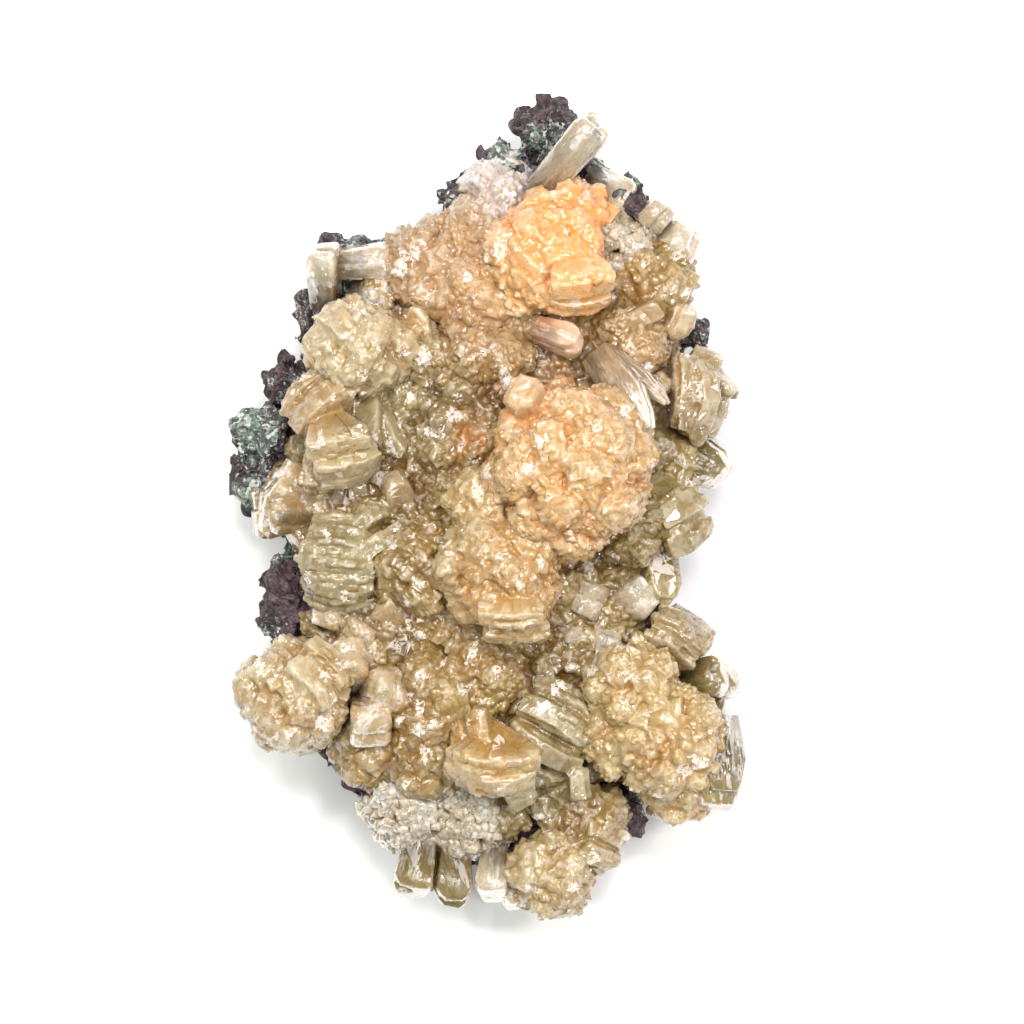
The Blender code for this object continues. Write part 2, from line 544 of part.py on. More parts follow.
def main():
    for thing in list(bpy.data.objects):
        bpy.data.objects.remove(thing)
    walls = [basalt("basalt_cutter", GAP)]
    finished = [basalt("basalt_matrix"), combined("stellerite_crust", crust("crust"), walls, "DIFFERENCE")]
    walls.append(crust("crust_cutter", GAP))
    for name, rows in AGGREGATES.items():
        solid = aggregate(name + "_whole", rows)
        near = [wall for wall in walls if meet(solid, wall)]
        finished.append(combined(name, solid, near, "DIFFERENCE"))
        walls.append(room_of(name + "_cutter", rows))
    for wall in walls:
        bpy.data.objects.remove(wall)
    for thing in finished:
        tidied(thing)
        thing.data.materials.clear()
        thing.data.materials.append(material(kind_of(thing.name)))


main()
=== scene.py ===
"""Looks of the stellerite and heulandite specimen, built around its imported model.

The table repeats the crystals of the part's source: where each one is rooted, where it points and
how large it is. Here each of them is a bundle of many small blades. The blades of one stellerite
aggregate are merged into one closed mass, with some sharp blade ends left loose on it, and a clear
crystal is a few overlapping plates. Sizes are in millimetres where nothing else is said.
"""

import itertools
import math
import random
import zlib
from collections import namedtuple

import bmesh
import bpy
import numpy as np
from mathutils import Matrix, Vector
from mathutils.bvhtree import BVHTree


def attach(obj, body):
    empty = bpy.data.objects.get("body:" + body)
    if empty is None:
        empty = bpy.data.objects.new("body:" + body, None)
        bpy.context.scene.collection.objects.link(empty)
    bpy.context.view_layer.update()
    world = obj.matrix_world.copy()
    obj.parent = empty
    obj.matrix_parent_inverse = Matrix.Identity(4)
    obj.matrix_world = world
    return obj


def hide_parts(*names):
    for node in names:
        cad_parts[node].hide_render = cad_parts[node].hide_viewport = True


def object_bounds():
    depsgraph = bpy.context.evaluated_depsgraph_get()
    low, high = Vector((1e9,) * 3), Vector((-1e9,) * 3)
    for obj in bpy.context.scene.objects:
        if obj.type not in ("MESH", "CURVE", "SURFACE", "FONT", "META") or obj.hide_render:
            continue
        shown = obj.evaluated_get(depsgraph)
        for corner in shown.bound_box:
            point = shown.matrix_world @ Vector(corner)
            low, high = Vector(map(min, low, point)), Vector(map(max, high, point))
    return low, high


MM = 0.001
GOLDEN_ANGLE = math.pi * (3 - math.sqrt(5))
NEIGHBOURS = list(itertools.product((-1, 0, 1), repeat=3))
# One crystal alone, or one of a group: root, where it points, where its broad face looks, sizes
Prism = namedtuple("Prism", "root aim face length width thick tip")
# Fan-shaped plates on one root: each plate's half angle, and how far the outer plates lean apart
Fan = namedtuple("Fan", "root aim face reach spread splay plates thick")
# A ball of crystals with tips that stand out of it, out to an angle from aim
Burst = namedtuple("Burst", "root aim reach cone tips width thick")
FORMS = {"prism": Prism, "fan": Fan, "burst": Burst}
# A tip: share of the width that is left at its end, and share of the length over which it narrows
TIPS = {
    "point": (0.12, 0.42), "chisel": (0.45, 0.22), "blunt": (0.68, 0.12), "coffin": (0.55, 0.45),
}

# Each aggregate: a line with its name and tint, then its crystals, each with the fields of its form
CRYSTALS = """
heulandite_blade_top grey_clear
prism  7.4 44.4 18.5  0.63 0.71 0.3  -0.2 -0.2 1  14.2 6.0 4.4 blunt
heulandite_blade_right grey_clear
prism  15.4 21.4 25.0  0.5 -0.76 0.42  -0.5 0.1 1  15.6 5.6 3.0 point
prism  16.6 21.6 24.0  0.7 -0.62 0.2  -0.5 0.1 1  12.0 3.6 2.6 point
heulandite_block_pink pink_clear
prism  7.0 24.8 24.0  0.82 -0.26 0.34  0.1 0.3 1  7.2 4.4 3.8 chisel
heulandite_knob_right tan_clear
prism  21.4 14.2 18.0  0.42 0.56 0.7  -0.4 -0.2 1  7.2 3.8 3.2 blunt
stellerite_ball_center peach
burst  11.4 5.6 28.4  0 0 1  12.6 100 17 5.6 3.8
prism  6.6 12.6 31.6  -0.3 0.55 0.8  0.3 0.3 1  7.6 5.4 4.2 blunt
stellerite_ball_lower_center warm
fan  3.4 -9.6 28.0  0 -0.8 0.5  0 0.5 1  10.8 30 9 2 3.4
burst  2.0 -8.0 26.4  -0.1 0 1  9.6 92 7 5.0 3.4
burst  -0.6 0.6 26.6  -0.1 0.1 1  5.6 70 2 4.2 3.0
stellerite_sheaf_bottom_center warm
fan  1.4 -31.0 22.0  -0.1 -0.75 0.6  0 0.7 0.6  10.6 42 12 3 3.2
fan  0.6 -31.4 21.0  -0.62 -0.1 0.7  0.3 0.2 0.8  6.8 34 10 2 3.0
stellerite_rosette_lower_right warm
burst  20.2 -24.8 21.5  0 0.1 1  7.2 92 5 5.0 3.4
burst  25.4 -32.4 21.5  0.1 0 1  8.4 98 6 5.6 3.6
burst  17.6 -32.4 19.0  -0.2 0 1  6.0 60 2 4.6 3.2
burst  26.6 -38.4 18.5  0.1 -0.3 1  5.8 90 3 4.6 3.2
heulandite_large_right green_clear
prism  31.4 -29.6 18.5  0.04 -0.92 0.3  0.35 0.3 1  12.6 8.4 6.0 coffin
stellerite_ball_lower_left cream
burst  -27.2 -26.2 21.0  -0.1 0.1 1  8.4 105 7 5.6 3.6
fan  -26.6 -25.8 21.0  0.45 0.5 0.75  -0.4 -0.3 1  9.8 30 10 2 3.6
fan  -26.8 -26.4 18.0  0.05 -0.85 0.32  0 0.4 1  9.2 40 8 2 3.2
heulandite_cluster_lower_left tan_clear
prism  -18.4 -24.6 17.0  -0.15 0.5 0.85  0.2 -0.6 1  9.6 6.6 4.6 chisel
prism  -16.6 -25.6 17.0  0.42 0.05 0.9  -0.7 0.1 0.6  9.6 7.2 4.8 chisel
prism  -17.4 -27.6 16.0  0.1 -0.35 0.9  0 0.8 0.5  9.6 7.0 5.0 blunt
stellerite_sheaf_left cream
fan  -23.8 14.4 19.5  0.32 -0.78 0.5  0.1 0.45 0.85  13.8 22 20 4 3.0
fan  -21.0 12.6 19.5  -0.55 0.4 0.6  0.3 -0.5 0.8  8.8 44 10 2 3.0
stellerite_dome_left cream
burst  -18.4 22.2 21.0  -0.1 0.1 1  7.4 90 6 5.2 3.4
burst  -13.6 22.4 19.5  0.3 0 1  5.6 60 2 4.4 3.0
fan  -12.6 24.6 17.0  0.7 0.35 0.6  -0.5 -0.3 1  6.4 26 8 1 2.6
stellerite_leaves_left greenish
prism  -17.6 18.4 17.0  0.16 -0.8 0.52  -0.5 0.4 0.9  12.6 4.6 2.4 point
prism  -15.6 17.2 16.0  0.28 -0.78 0.52  0.6 0.4 0.6  13.4 5.0 2.6 point
stellerite_barrel_left greenish
fan  -20.6 -7.2 18.0  -0.05 -0.05 1  0.1 1 0  8.0 44 52 5 3.4
fan  -15.4 -5.2 17.0  0.35 0.25 0.9  -0.5 0.8 0  7.8 38 34 3 3.0
stellerite_sheaf_mid_left honey
prism  -12.0 -2.4 18.0  -0.1 0.7 0.6  0.3 -0.6 0.8  9.6 4.6 2.8 chisel
burst  -8.4 -8.4 19.5  0.1 0 1  8.2 78 6 5.2 3.4
burst  -7.6 -15.6 17.5  0 -0.2 1  6.0 60 2 4.6 3.2
heulandite_mid_left tan_clear
prism  -16.0 -15.6 14.0  0.5 0.3 0.85  -0.6 0.5 0.6  10.0 6.4 4.6 chisel
prism  -16.6 -17.4 13.0  -0.3 -0.1 0.9  0.5 0.8 0.2  8.4 5.4 4.2 blunt
prism  -19.4 -14.6 13.0  -0.45 0 0.9  0.2 0.9 0.2  8.4 5.0 3.6 blunt
heulandite_fan_far_left tan_clear
fan  -21.4 -0.6 15.0  -0.86 0.2 0.36  0.2 -0.3 1  13.4 26 9 2 3.2
prism  -22.6 0.8 15.0  -0.2 0.5 0.75  0.2 -0.5 0.8  9.0 5.2 2.8 chisel
prism  -21.2 -0.8 14.0  -0.64 -0.34 0.5  0.2 0.3 1  9.2 5.4 3.0 blunt
stellerite_rosette_top apricot
fan  11.4 36.6 23.5  0.14 -0.8 0.55  0 0.6 0.8  11.6 26 8 2 3.4
fan  9.0 36.6 23.0  -0.62 -0.4 0.6  0.3 0.5 0.8  8.2 30 0 1 3.0
burst  8.0 35.0 20.5  0.05 0.1 1  9.4 84 7 5.2 3.4
burst  12.0 40.6 19.0  0.1 0.3 1  5.8 66 2 4.4 3.0
stellerite_frost_top frost
burst  1.6 43.6 14.5  -0.1 0.2 1  6.0 72 4 4.4 3.0
heulandite_group_upper_right grey_clear
prism  14.6 45.6 15.0  0.7 -0.42 0.55  -0.3 0.4 1  8.4 5.4 4.2 blunt
prism  22.2 39.8 14.0  0.2 0.16 0.95  -0.7 0.7 0.2  9.2 5.4 3.6 chisel
prism  23.2 36.8 14.0  0.56 0.02 0.78  -0.5 0.4 0.6  9.0 5.8 4.0 blunt
burst  18.6 36.6 16.5  0.1 0 1  6.2 66 3 4.8 3.2
stellerite_sprays_upper_right honey
prism  15.6 24.4 20.0  0.82 0.36 0.26  -0.1 -0.3 1  10.2 3.6 2.8 blunt
burst  23.0 31.4 17.0  0.1 0 1  6.8 90 5 5.0 3.2
prism  23.8 26.8 14.0  0.4 -0.1 0.85  -0.6 0.3 0.6  9.0 5.4 3.6 blunt
heulandite_pair_upper_left grey_clear
prism  -22.6 28.6 15.0  -0.06 0.86 0.42  -0.3 -0.3 1  9.4 4.8 4.4 blunt
prism  -20.4 34.2 15.5  0.9 0.04 0.3  0 -0.2 1  8.4 5.6 4.8 blunt
prism  -17.8 31.6 14.0  0.7 -0.1 0.6  -0.3 0.2 1  6.6 3.8 3.4 blunt
prism  -18.4 30.0 13.0  0.36 -0.3 0.85  -0.4 0.2 0.9  8.6 4.4 3.6 blunt
stellerite_mound_upper_left rose
burst  -8.0 33.2 16.0  -0.1 0.2 1  7.6 78 4 5.0 3.2
burst  -1.4 29.6 17.0  0 -0.1 1  8.2 74 5 5.4 3.4
burst  -1.2 37.6 15.0  0 0.2 1  7.0 70 3 4.8 3.2
stellerite_cluster_right taupe
fan  26.2 15.2 16.0  0.6 0.04 0.8  -0.8 0.1 0.6  9.0 46 14 3 3.2
prism  28.4 16.6 17.0  0.94 0.02 0.3  -0.2 -0.3 1  7.0 5.4 3.8 point
prism  28.2 17.0 15.0  0.36 0.6 0.6  -0.2 -0.4 1  7.2 5.2 3.2 blunt
heulandite_point_right green_clear
prism  26.6 6.6 15.0  0.88 -0.12 0.36  -0.3 0.2 1  8.8 7.6 5.0 point
stellerite_columns_right olive
fan  23.6 -2.2 14.0  0.34 0.22 0.85  -0.4 0.8 0.2  9.8 28 24 3 4.0
prism  23.4 -3.0 16.0  0.05 -0.86 0.42  0.5 0.3 0.8  11.8 6.2 3.2 chisel
burst  24.8 6.6 14.5  0.2 0 1  6.4 80 3 4.8 3.2
stellerite_blades_lower_right taupe
fan  23.6 -21.4 16.0  0.36 0.56 0.6  -0.3 -0.5 0.8  10.4 28 10 3 3.0
heulandite_green_right green_clear
prism  27.8 -24.2 16.0  0.76 0.14 0.5  -0.4 0.2 1  7.8 6.2 5.0 chisel
prism  29.6 -25.8 14.0  0.55 -0.35 0.5  -0.3 0.2 1  5.6 3.8 3.2 blunt
stellerite_ball_green greenish
fan  8.4 -31.0 17.0  0.05 -0.05 1  0.5 0.85 0  8.8 44 50 4 3.6
prism  12.8 -38.4 14.0  0 0 1  1 0.1 0  9.4 5.0 2.6 blunt
prism  4.6 -37.6 14.0  0 -0.3 0.9  -0.4 0.6 0.5  9.0 4.8 3.2 blunt
burst  9.0 -38.4 14.5  0 0 1  6.2 60 2 4.6 3.2
stellerite_mass_lower honey
burst  -7.6 -26.4 18.0  0 0 1  8.4 74 5 5.4 3.4
burst  -0.6 -23.0 17.0  0 0 1  7.4 66 3 5.0 3.4
burst  -9.2 -34.2 16.5  0 -0.1 1  7.0 76 4 4.8 3.2
burst  -16.4 -33.6 15.5  -0.2 -0.1 1  6.0 80 3 4.6 3.2
heulandite_trio_mid_right grey_clear
prism  17.6 -13.6 16.0  0.5 0.15 0.85  -0.4 0.7 0.6  9.0 5.0 4.4 blunt
prism  15.6 -13.4 15.0  -0.25 0.1 0.9  0.2 0.8 0.4  9.4 5.2 4.2 chisel
prism  14.8 -16.6 14.0  -0.55 -0.3 0.9  0.2 0.9 0.2  10.0 5.0 4.4 blunt
prism  15.6 -16.8 14.0  0.1 -0.4 0.9  0.3 0.8 0.4  9.4 5.2 4.2 chisel
stellerite_rosette_bottom cream
burst  8.8 -50.9 14.5  0 -0.35 1  6.8 100 6 4.8 3.2
heulandite_bottom grey_clear
prism  1.4 -48.0 12.0  -0.1 -0.78 0.48  -0.1 0.4 1  7.8 5.2 4.2 blunt
prism  3.4 -49.2 11.0  0.06 -0.84 0.36  0.2 0.3 1  7.8 4.2 3.6 chisel
stellerite_ribbed_bottom honey
fan  12.6 -44.8 13.0  0.46 -0.54 0.66  0.5 0.6 0.2  8.4 26 22 3 3.2
burst  13.4 -43.6 13.5  0.1 0 1  6.8 80 4 4.8 3.2
heulandite_blades_bottom_left green_clear
prism  -9.2 -46.2 13.0  -0.16 -0.82 0.36  -0.1 0.3 1  9.0 6.4 3.8 blunt
prism  -4.8 -46.4 13.0  -0.04 -0.88 0.26  0.2 0.3 1  10.2 6.2 3.6 chisel
heulandite_druse_lower_left grey_clear
burst  -11.2 -41.6 12.5  -0.2 -0.2 1  7.0 84 4 5.2 3.4
burst  -2.8 -42.6 12.5  0 -0.1 1  7.0 74 3 5.2 3.4
"""


def value_of(word):
    return TIPS[word] if word in TIPS else float(word) if "." in word else int(word)


def read_crystals(table):
    """The crystals of each aggregate, and its tint."""
    rows_of, tint_of = {}, {}
    for line in table.strip().splitlines():
        first, *words = line.split()
        if first not in FORMS:
            name, tint_of[first], rows_of[first] = first, words[0], []
            continue
        values = [value_of(word) for word in words]
        vectors = 2 if first == "burst" else 3
        places = [tuple(values[3 * i : 3 * i + 3]) for i in range(vectors)]
        rows_of[name].append(FORMS[first](*places, *values[3 * vectors :]))
    return rows_of, tint_of


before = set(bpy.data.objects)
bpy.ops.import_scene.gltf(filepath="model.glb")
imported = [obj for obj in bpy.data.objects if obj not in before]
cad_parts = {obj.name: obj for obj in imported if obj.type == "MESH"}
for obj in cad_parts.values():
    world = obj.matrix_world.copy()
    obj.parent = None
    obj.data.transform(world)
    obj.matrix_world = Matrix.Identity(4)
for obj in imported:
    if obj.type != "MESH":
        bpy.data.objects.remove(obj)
CAD_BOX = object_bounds()
CAD_LOW, CAD_HIGH = (np.array(corner) / MM for corner in CAD_BOX)
BOX_MARGIN = 0.02
AGGREGATES, TINT_OF = read_crystals(CRYSTALS)

# The picture's width and centre on the specimen, in metres, and the height that it is true for
VIEW_WIDTH = 0.14336
VIEW_CENTRE = (0.00336, -0.00056)
VIEW_LEVEL = 0.014

# Where the crystals are most orange, and where rosy and pale: x, y, radius
HEARTS = [
    (7.0, 36.0, 8.0), (-2.0, 9.5, 3.6), (8.5, -2.5, 4.5), (-3.5, -15.5, 3.0), (11.0, 31.0, 4.0),
    (1.0, 20.0, 3.0),
]
PALE = [(-4.0, 33.0, 9.0), (-1.0, 24.0, 6.0), (9.0, 18.0, 5.0), (22.0, 20.0, 6.0)]
# Where the rock is most weathered, and where chalky: x, y, radius
WEATHERED = [
    (-32.2, 11.0, 4.6), (-33.5, 2.0, 3.0), (-28.5, -6.5, 2.6), (-32.0, -19.0, 4.0),
    (14.5, 47.6, 3.6), (-4.0, 43.0, 4.5), (2.6, 49.5, 3.2), (29.5, 24.5, 4.0), (20.0, -17.5, 3.0),
]
CHALKY = [
    (-20.0, -35.0, 6.0), (-15.0, -42.0, 6.0), (-12.5, -46.5, 5.0), (-24.0, 31.0, 6.0),
    (-22.0, 20.0, 4.0),
]

# How fine the crystals are: width of one small blade, and edge length of the merging grid
GRAINS = (0.8, 1.1, 1.5, 1.9)
CELL = 0.25
# Share of the merged faces that is kept, and of the blades whose sharp ends stay loose
KEPT = 0.26
ENDS, CRUST_ENDS, FAN_ENDS = 0.45, 0.34, 0.1
# A ball: corners of its body in the part's source, where its tips start, as a share of its reach,
# and how far apart its lobes and the bundles between its tips are
BALL_POINTS = 11
TIP_START = 0.4
LOBE = 5.0
FILLER = 2.7
# A small rosette: its half angle in degrees, and how far apart its bundles are
ROSETTE_CONE = 80
ROSETTE_SIZE = 2.2
# A fan: thickness of a layer and width of a blade on its rim, for clear crystals and for others
CLEAR_FAN = (1.6, 3.0)
DULL_FAN = (0.75, 1.3)

# A blade's cross-section: share of the width, share of the thickness
PLATE_SIDES = np.array([
    (-0.5, -0.3), (-0.5, 0.3), (-0.44, 0.5), (0.44, 0.5),
    (0.5, 0.3), (0.5, -0.3), (0.44, -0.5), (-0.44, -0.5),
])
FOUR_SIDES = np.array([(-0.5, -0.5), (-0.5, 0.5), (0.5, 0.5), (0.5, -0.5)])
# Faces of a four-sided blade: two on each of its 8 sides, two on its foot and two on its end
SIDE_FACES, BLADE_FACES, BLADE_SIDES = 16, 20, 10
# How fast the mosaic of small faces changes along a crystal, next to how fast it does across it
MOSAIC_RUN = 0.45


def seeded(*words):
    """A random generator that gives the same numbers for the same words."""
    return random.Random(zlib.crc32(" ".join(map(str, words)).encode()))


def many(*words):
    """The same, for arrays of numbers."""
    return np.random.default_rng(zlib.crc32(" ".join(map(str, words)).encode()))


def axes(aim, face):
    """A turn that brings +Z to aim, and +Y as near to face as it can."""
    z = Vector(aim).normalized()
    y = Vector(face) - Vector(face).dot(z) * z
    y.normalize()
    return Matrix((y.cross(z), y, z)).transposed()


def turned(way, side):
    """A turn that brings +Z to way, and +X as near to side as it can."""
    side -= side @ way * way
    side /= np.linalg.norm(side)
    return np.stack([side, np.cross(way, side), way], axis=1)


def spread_ways(count, cone, rng):
    """Directions spread evenly over the part of a sphere that lies within cone degrees of +Z."""
    drop = 1 - math.cos(math.radians(cone))
    ways = []
    for i in range(count):
        height = 1 - (i + 0.5) / count * drop
        across = math.sqrt(max(0.0, 1 - height * height))
        turn = i * GOLDEN_ANGLE + rng.uniform(-0.25, 0.25)
        ways.append(Vector((across * math.cos(turn), across * math.sin(turn), height)))
    return ways


class Blades:
    """A growing list of small tabular crystals, each a row of numbers in the order of add."""

    COLUMNS, UPWARD, LENGTH = 20, 11, 12

    def __init__(self):
        self.rows = []

    def add(self, root, turn, length, width, thick, tip, tilt, foot=0.75):
        """The tip as in TIPS, the tilt of the end, and the foot's share of the width."""
        row = (*root, *np.asarray(turn).ravel(), length, width, thick, *tip, *tilt, foot)
        self.rows.append(row)

    def table(self):
        return np.array(self.rows, float).reshape(-1, self.COLUMNS)

    def some(self, share, rng):
        """A part of the blades by chance, those that point down left out, each a little longer."""
        data = self.table()
        chosen = Blades()
        data = data[(rng.uniform(0, 1, len(data)) < share) & (data[:, self.UPWARD] > -0.25)]
        data[:, self.LENGTH] += rng.uniform(0.0, 0.2, len(data))
        chosen.rows = list(map(tuple, data))
        return chosen

    def triangles(self, section=FOUR_SIDES):
        """Corners and triangles of all blades."""
        data = self.table()
        root, turn = data[:, :3], data[:, 3:12].reshape(-1, 3, 3)
        length, width, thick, tip_width, tip_length, tilt_x, tilt_y, foot = data[:, 12:20].T
        one = np.ones(len(data))
        levels = [
            (0 * one, foot, foot), (1 - tip_length, one, one),
            (one, tip_width, 0.5 * one + 0.5 * tip_width),
        ]
        if section is PLATE_SIDES:
            middle = 1 - (1 - tip_width) * 0.42
            levels.insert(2, (1 - 0.35 * tip_length, middle, middle))
        points = np.zeros((len(data), len(levels), len(section), 3))
        x, y, z = (points[..., i] for i in range(3))
        for i, (height, wide, deep) in enumerate(levels):
            x[:, i] = section[:, 0] * (width * wide)[:, None]
            y[:, i] = section[:, 1] * (thick * deep)[:, None]
            z[:, i] = (height * length)[:, None]
            if i:
                z[:, i] += tilt_x[:, None] * x[:, i] + tilt_y[:, None] * y[:, i]
        points = np.einsum("bij,blkj->blki", turn, points) + root[:, None, None, :]
        sides = len(section)
        faces = []
        for level in range(len(levels) - 1):
            for k in range(sides):
                a, b = level * sides + k, level * sides + (k + 1) % sides
                faces += [(a, b, b + sides), (a, b + sides, a + sides)]
        last = (len(levels) - 1) * sides
        for k in range(1, sides - 1):
            faces += [(0, k + 1, k), (last, last + k, last + k + 1)]
        first = np.arange(len(data)) * len(levels) * sides
        faces = np.array(faces)[None] + first[:, None, None]
        return points.reshape(-1, 3), faces.reshape(-1, 3)


def block(blades, root, turn, length, width, thick, rng, share=1.0, dome=0.16, flare=0.25,
          start=0.0, uneven=0.55):
    """A bundle of blades side by side, finer or coarser by chance, with a domed and uneven end.

    It leaves out what lies nearer to the root than start, and spreads outwards by flare.
    """
    turn = np.asarray(turn)
    grain = share * rng.choice(GRAINS)
    columns = max(2, round(width / grain))
    rows = max(2, round(thick / (0.7 * grain)))
    for i, j in itertools.product(range(columns), range(rows)):
        across = 2 * (i + 0.5) / columns - 1 + rng.uniform(-0.3, 0.3) / columns
        deep = 2 * (j + 0.5) / rows - 1 + rng.uniform(-0.3, 0.3) / rows
        x, y = 0.5 * width * across, 0.5 * thick * deep
        way = np.array([x * flare, y * flare, length])
        way /= np.linalg.norm(way)
        twist = rng.uniform(-0.35, 0.35)
        own = turned(way, np.array([math.cos(twist), math.sin(twist), 0.0]))
        reach = length * (1 - dome * (across * across + deep * deep)) - rng.uniform(0.0, uneven)
        at = turn @ np.array([x, y, 0.0]) + root + turn @ way * start
        wider, deeper = ((1 + flare) * rng.uniform(1.0, 1.5) for _ in range(2))
        blades.add(
            at, turn @ own, reach - start, width / columns * wider, thick / rows * deeper,
            (rng.uniform(0.45, 0.8), rng.uniform(0.5, 0.9) / max(reach - start, 1.2)),
            (rng.uniform(-0.6, 0.6), rng.uniform(-0.6, 0.6)),
        )


def rosette(blades, root, aim, reach, rng):
    """A small ball of short bundles."""
    base = np.array(axes(aim, rng.normal(0, 1, 3)))
    wide = 2 * math.pi * (1 - math.cos(math.radians(ROSETTE_CONE)))
    count = max(6, int(wide * reach**2 / ROSETTE_SIZE**2))
    for way in spread_ways(count, ROSETTE_CONE, seeded(*np.round(root, 3))):
        turn = axes(base @ np.array(way) + rng.normal(0, 0.08, 3), rng.normal(0, 1, 3))
        block(
            blades, root, turn, reach * rng.uniform(0.8, 1.0),
            ROSETTE_SIZE * rng.uniform(0.45, 0.7), ROSETTE_SIZE * rng.uniform(0.3, 0.5), rng,
            share=0.5, dome=0.05, flare=1.0, start=0.4 * reach,
        )


def sheaf(blades, root, turn, reach, spread, thick, rng, layer, tooth):
    """Thin fan-shaped layers on each other, each with a rim of small blunt blades."""
    turn = np.asarray(turn)
    layers = max(2, round(thick / layer))
    teeth = max(4, round(2 * math.radians(spread) * reach / tooth))
    step = 2 * math.radians(spread) / teeth
    for j in range(layers):
        deep = 2 * (j + 0.5) / layers - 1
        drop = rng.uniform(0.0, 0.13) + 0.05 * deep * deep
        lean = math.radians(rng.uniform(-4, 4))
        wave = rng.uniform(0, 2 * math.pi)
        for i in range(teeth):
            angle = math.radians(-spread) + (i + 0.5) * step + rng.uniform(-0.2, 0.2) * step
            bend = math.sin(lean) + 0.06 * deep + rng.uniform(-0.025, 0.025)
            way = np.array([math.sin(angle), bend, math.cos(angle)])
            way /= np.linalg.norm(way)
            own = turned(way, np.array([math.cos(angle), 0.0, -math.sin(angle)]))
            ripple = 0.03 * math.sin(6 * angle + wave)
            out = reach * (1.0 - drop + ripple - rng.uniform(0.0, 0.06))
            at = root + turn @ np.array([0.0, 0.5 * thick * deep * 0.75, 0.0])
            blades.add(
                at, turn @ own, out, step * reach * rng.uniform(1.3, 1.8),
                thick / layers * rng.uniform(1.2, 1.7),
                (rng.uniform(0.5, 0.85), rng.uniform(0.05, 0.1)),
                (rng.uniform(-0.3, 0.3), rng.uniform(-0.3, 0.3)), 0.35,
            )


def prism_blades(blades, row, clear):
    """One large crystal: a few full plates on each other, with smaller ones on its broad faces."""
    turn = np.asarray(axes(row.aim, row.face))
    rng = many(row.root)
    layers = max(2, round(row.thick / (2.0 if clear else 1.3)))
    for j in range(layers):
        deep = 2 * (j + 0.5) / layers - 1
        inner = 1 - abs(deep)
        wide = row.width * (0.8 + 0.2 * inner) * rng.uniform(0.9, 1.0)
        long = row.length * (0.9 + 0.1 * inner) * rng.uniform(0.9, 1.0)
        shift = rng.uniform(-0.07, 0.07) * row.width
        at = row.root + turn @ np.array([shift, 0.5 * row.thick * deep * 0.9, 0.0])
        blades.add(
            at, turn, long, wide, row.thick / layers * 1.5, row.tip,
            (rng.uniform(-0.15, 0.15), rng.uniform(-0.3, 0.3)), 0.78,
        )
    for _ in range(5 if clear else max(2, round(row.width / 1.7))):
        shift = rng.uniform(-0.3, 0.3) * row.width
        side = rng.choice([-1, 1])
        at = row.root + turn @ np.array([shift, side * 0.36 * row.thick, 0.0])
        blades.add(
            at, turn, row.length * rng.uniform(0.45, 0.94), row.width * rng.uniform(0.15, 0.45),
            row.thick * 0.4, (rng.uniform(0.4, 0.8), 0.1), (rng.uniform(-0.5, 0.5), 0.0), 0.8,
        )


def fan_blades(blades, row, clear):
    """Fans of layers. The draws of rng are those of the part's source, and some aren't used."""
    rng = seeded(row.root)
    own = many(row.root)
    base = axes(row.aim, row.face)
    for i in range(row.plates):
        lean = 2 * i / (row.plates - 1) - 1 if row.plates > 1 else 0
        splay = math.radians(-row.splay * lean + rng.uniform(-2, 2))
        tilt = Matrix.Rotation(splay, 3, "X")
        skew = Matrix.Rotation(math.radians(rng.uniform(-6, 6)), 3, "Y")
        reach = row.reach * (1 - 0.1 * lean * lean)
        for _ in range(5 if row.spread > 40 else 4):
            rng.uniform(0.94, 1.02)
        root = Vector(row.root) + base @ Vector((0, 0.3 * row.thick * lean, 0))
        turn = base @ tilt @ skew
        fineness = CLEAR_FAN if clear else DULL_FAN
        sheaf(blades, np.array(root), turn, reach, row.spread, row.thick, own, *fineness)


def burst_blades(blades, row, _clear):
    """A ball of bundles. The draws of rng are those of the part's source, and some aren't used."""
    rng = seeded(row.root)
    own = many(row.root)
    base = axes(row.aim, (0.3, 1, 0.1))
    for _ in spread_ways(BALL_POINTS + row.tips // 2, 180, rng):
        rng.uniform(0.8, 0.9)
    for way in spread_ways(row.tips, row.cone, rng):
        turn = axes(base @ way, [rng.gauss(0, 1) for _ in range(3)])
        length = (1 - TIP_START) * row.reach * rng.uniform(0.96, 1.06)
        width = row.width * rng.uniform(0.85, 1.1)
        rng.uniform(0.86, 1.0)
        rng.shuffle([0, 1])
        start = Vector(row.root) + turn @ Vector((0, 0, TIP_START * row.reach))
        block(blades, np.array(start), turn, length, width, row.thick, own, start=0.3 * length)
    for way in spread_ways(5 + row.tips // 2, 88, seeded(row.root, "flank")):
        if way.z < 0.8:
            aim = np.array(base @ way)
            size = row.reach * own.uniform(0.28, 0.42)
            rosette(blades, row.root + aim * (0.98 * row.reach - 0.75 * size), aim, size, own)
    cone = min(170, row.cone + 25)
    area = 2 * math.pi * (1 - math.cos(math.radians(cone))) * row.reach**2
    lobes = spread_ways(max(5, int(area / LOBE**2)), cone, seeded(row.root, "lobes"))
    lobes = np.array(lobes)
    for way in spread_ways(int(area / FILLER**2), cone, seeded(row.root, "filler")):
        aim = np.array(base @ way) + own.normal(0, 0.07, 3)
        turn = axes(aim, own.normal(0, 1, 3))
        apart = np.linalg.norm(lobes - np.array(way), axis=1).min() * row.reach / LOBE
        length = row.reach * own.uniform(0.92, 0.98) * (1.0 - 0.3 * min(1.0, apart) ** 2)
        block(
            blades, np.array(row.root), turn, length, own.uniform(2.6, 4.0) * 0.5,
            own.uniform(1.8, 2.8) * 0.5, own,
            share=0.5, dome=0.05, flare=1.0, start=0.55 * length, uneven=0.7,
        )


BLADES_OF = {Prism: prism_blades, Fan: fan_blades, Burst: burst_blades}


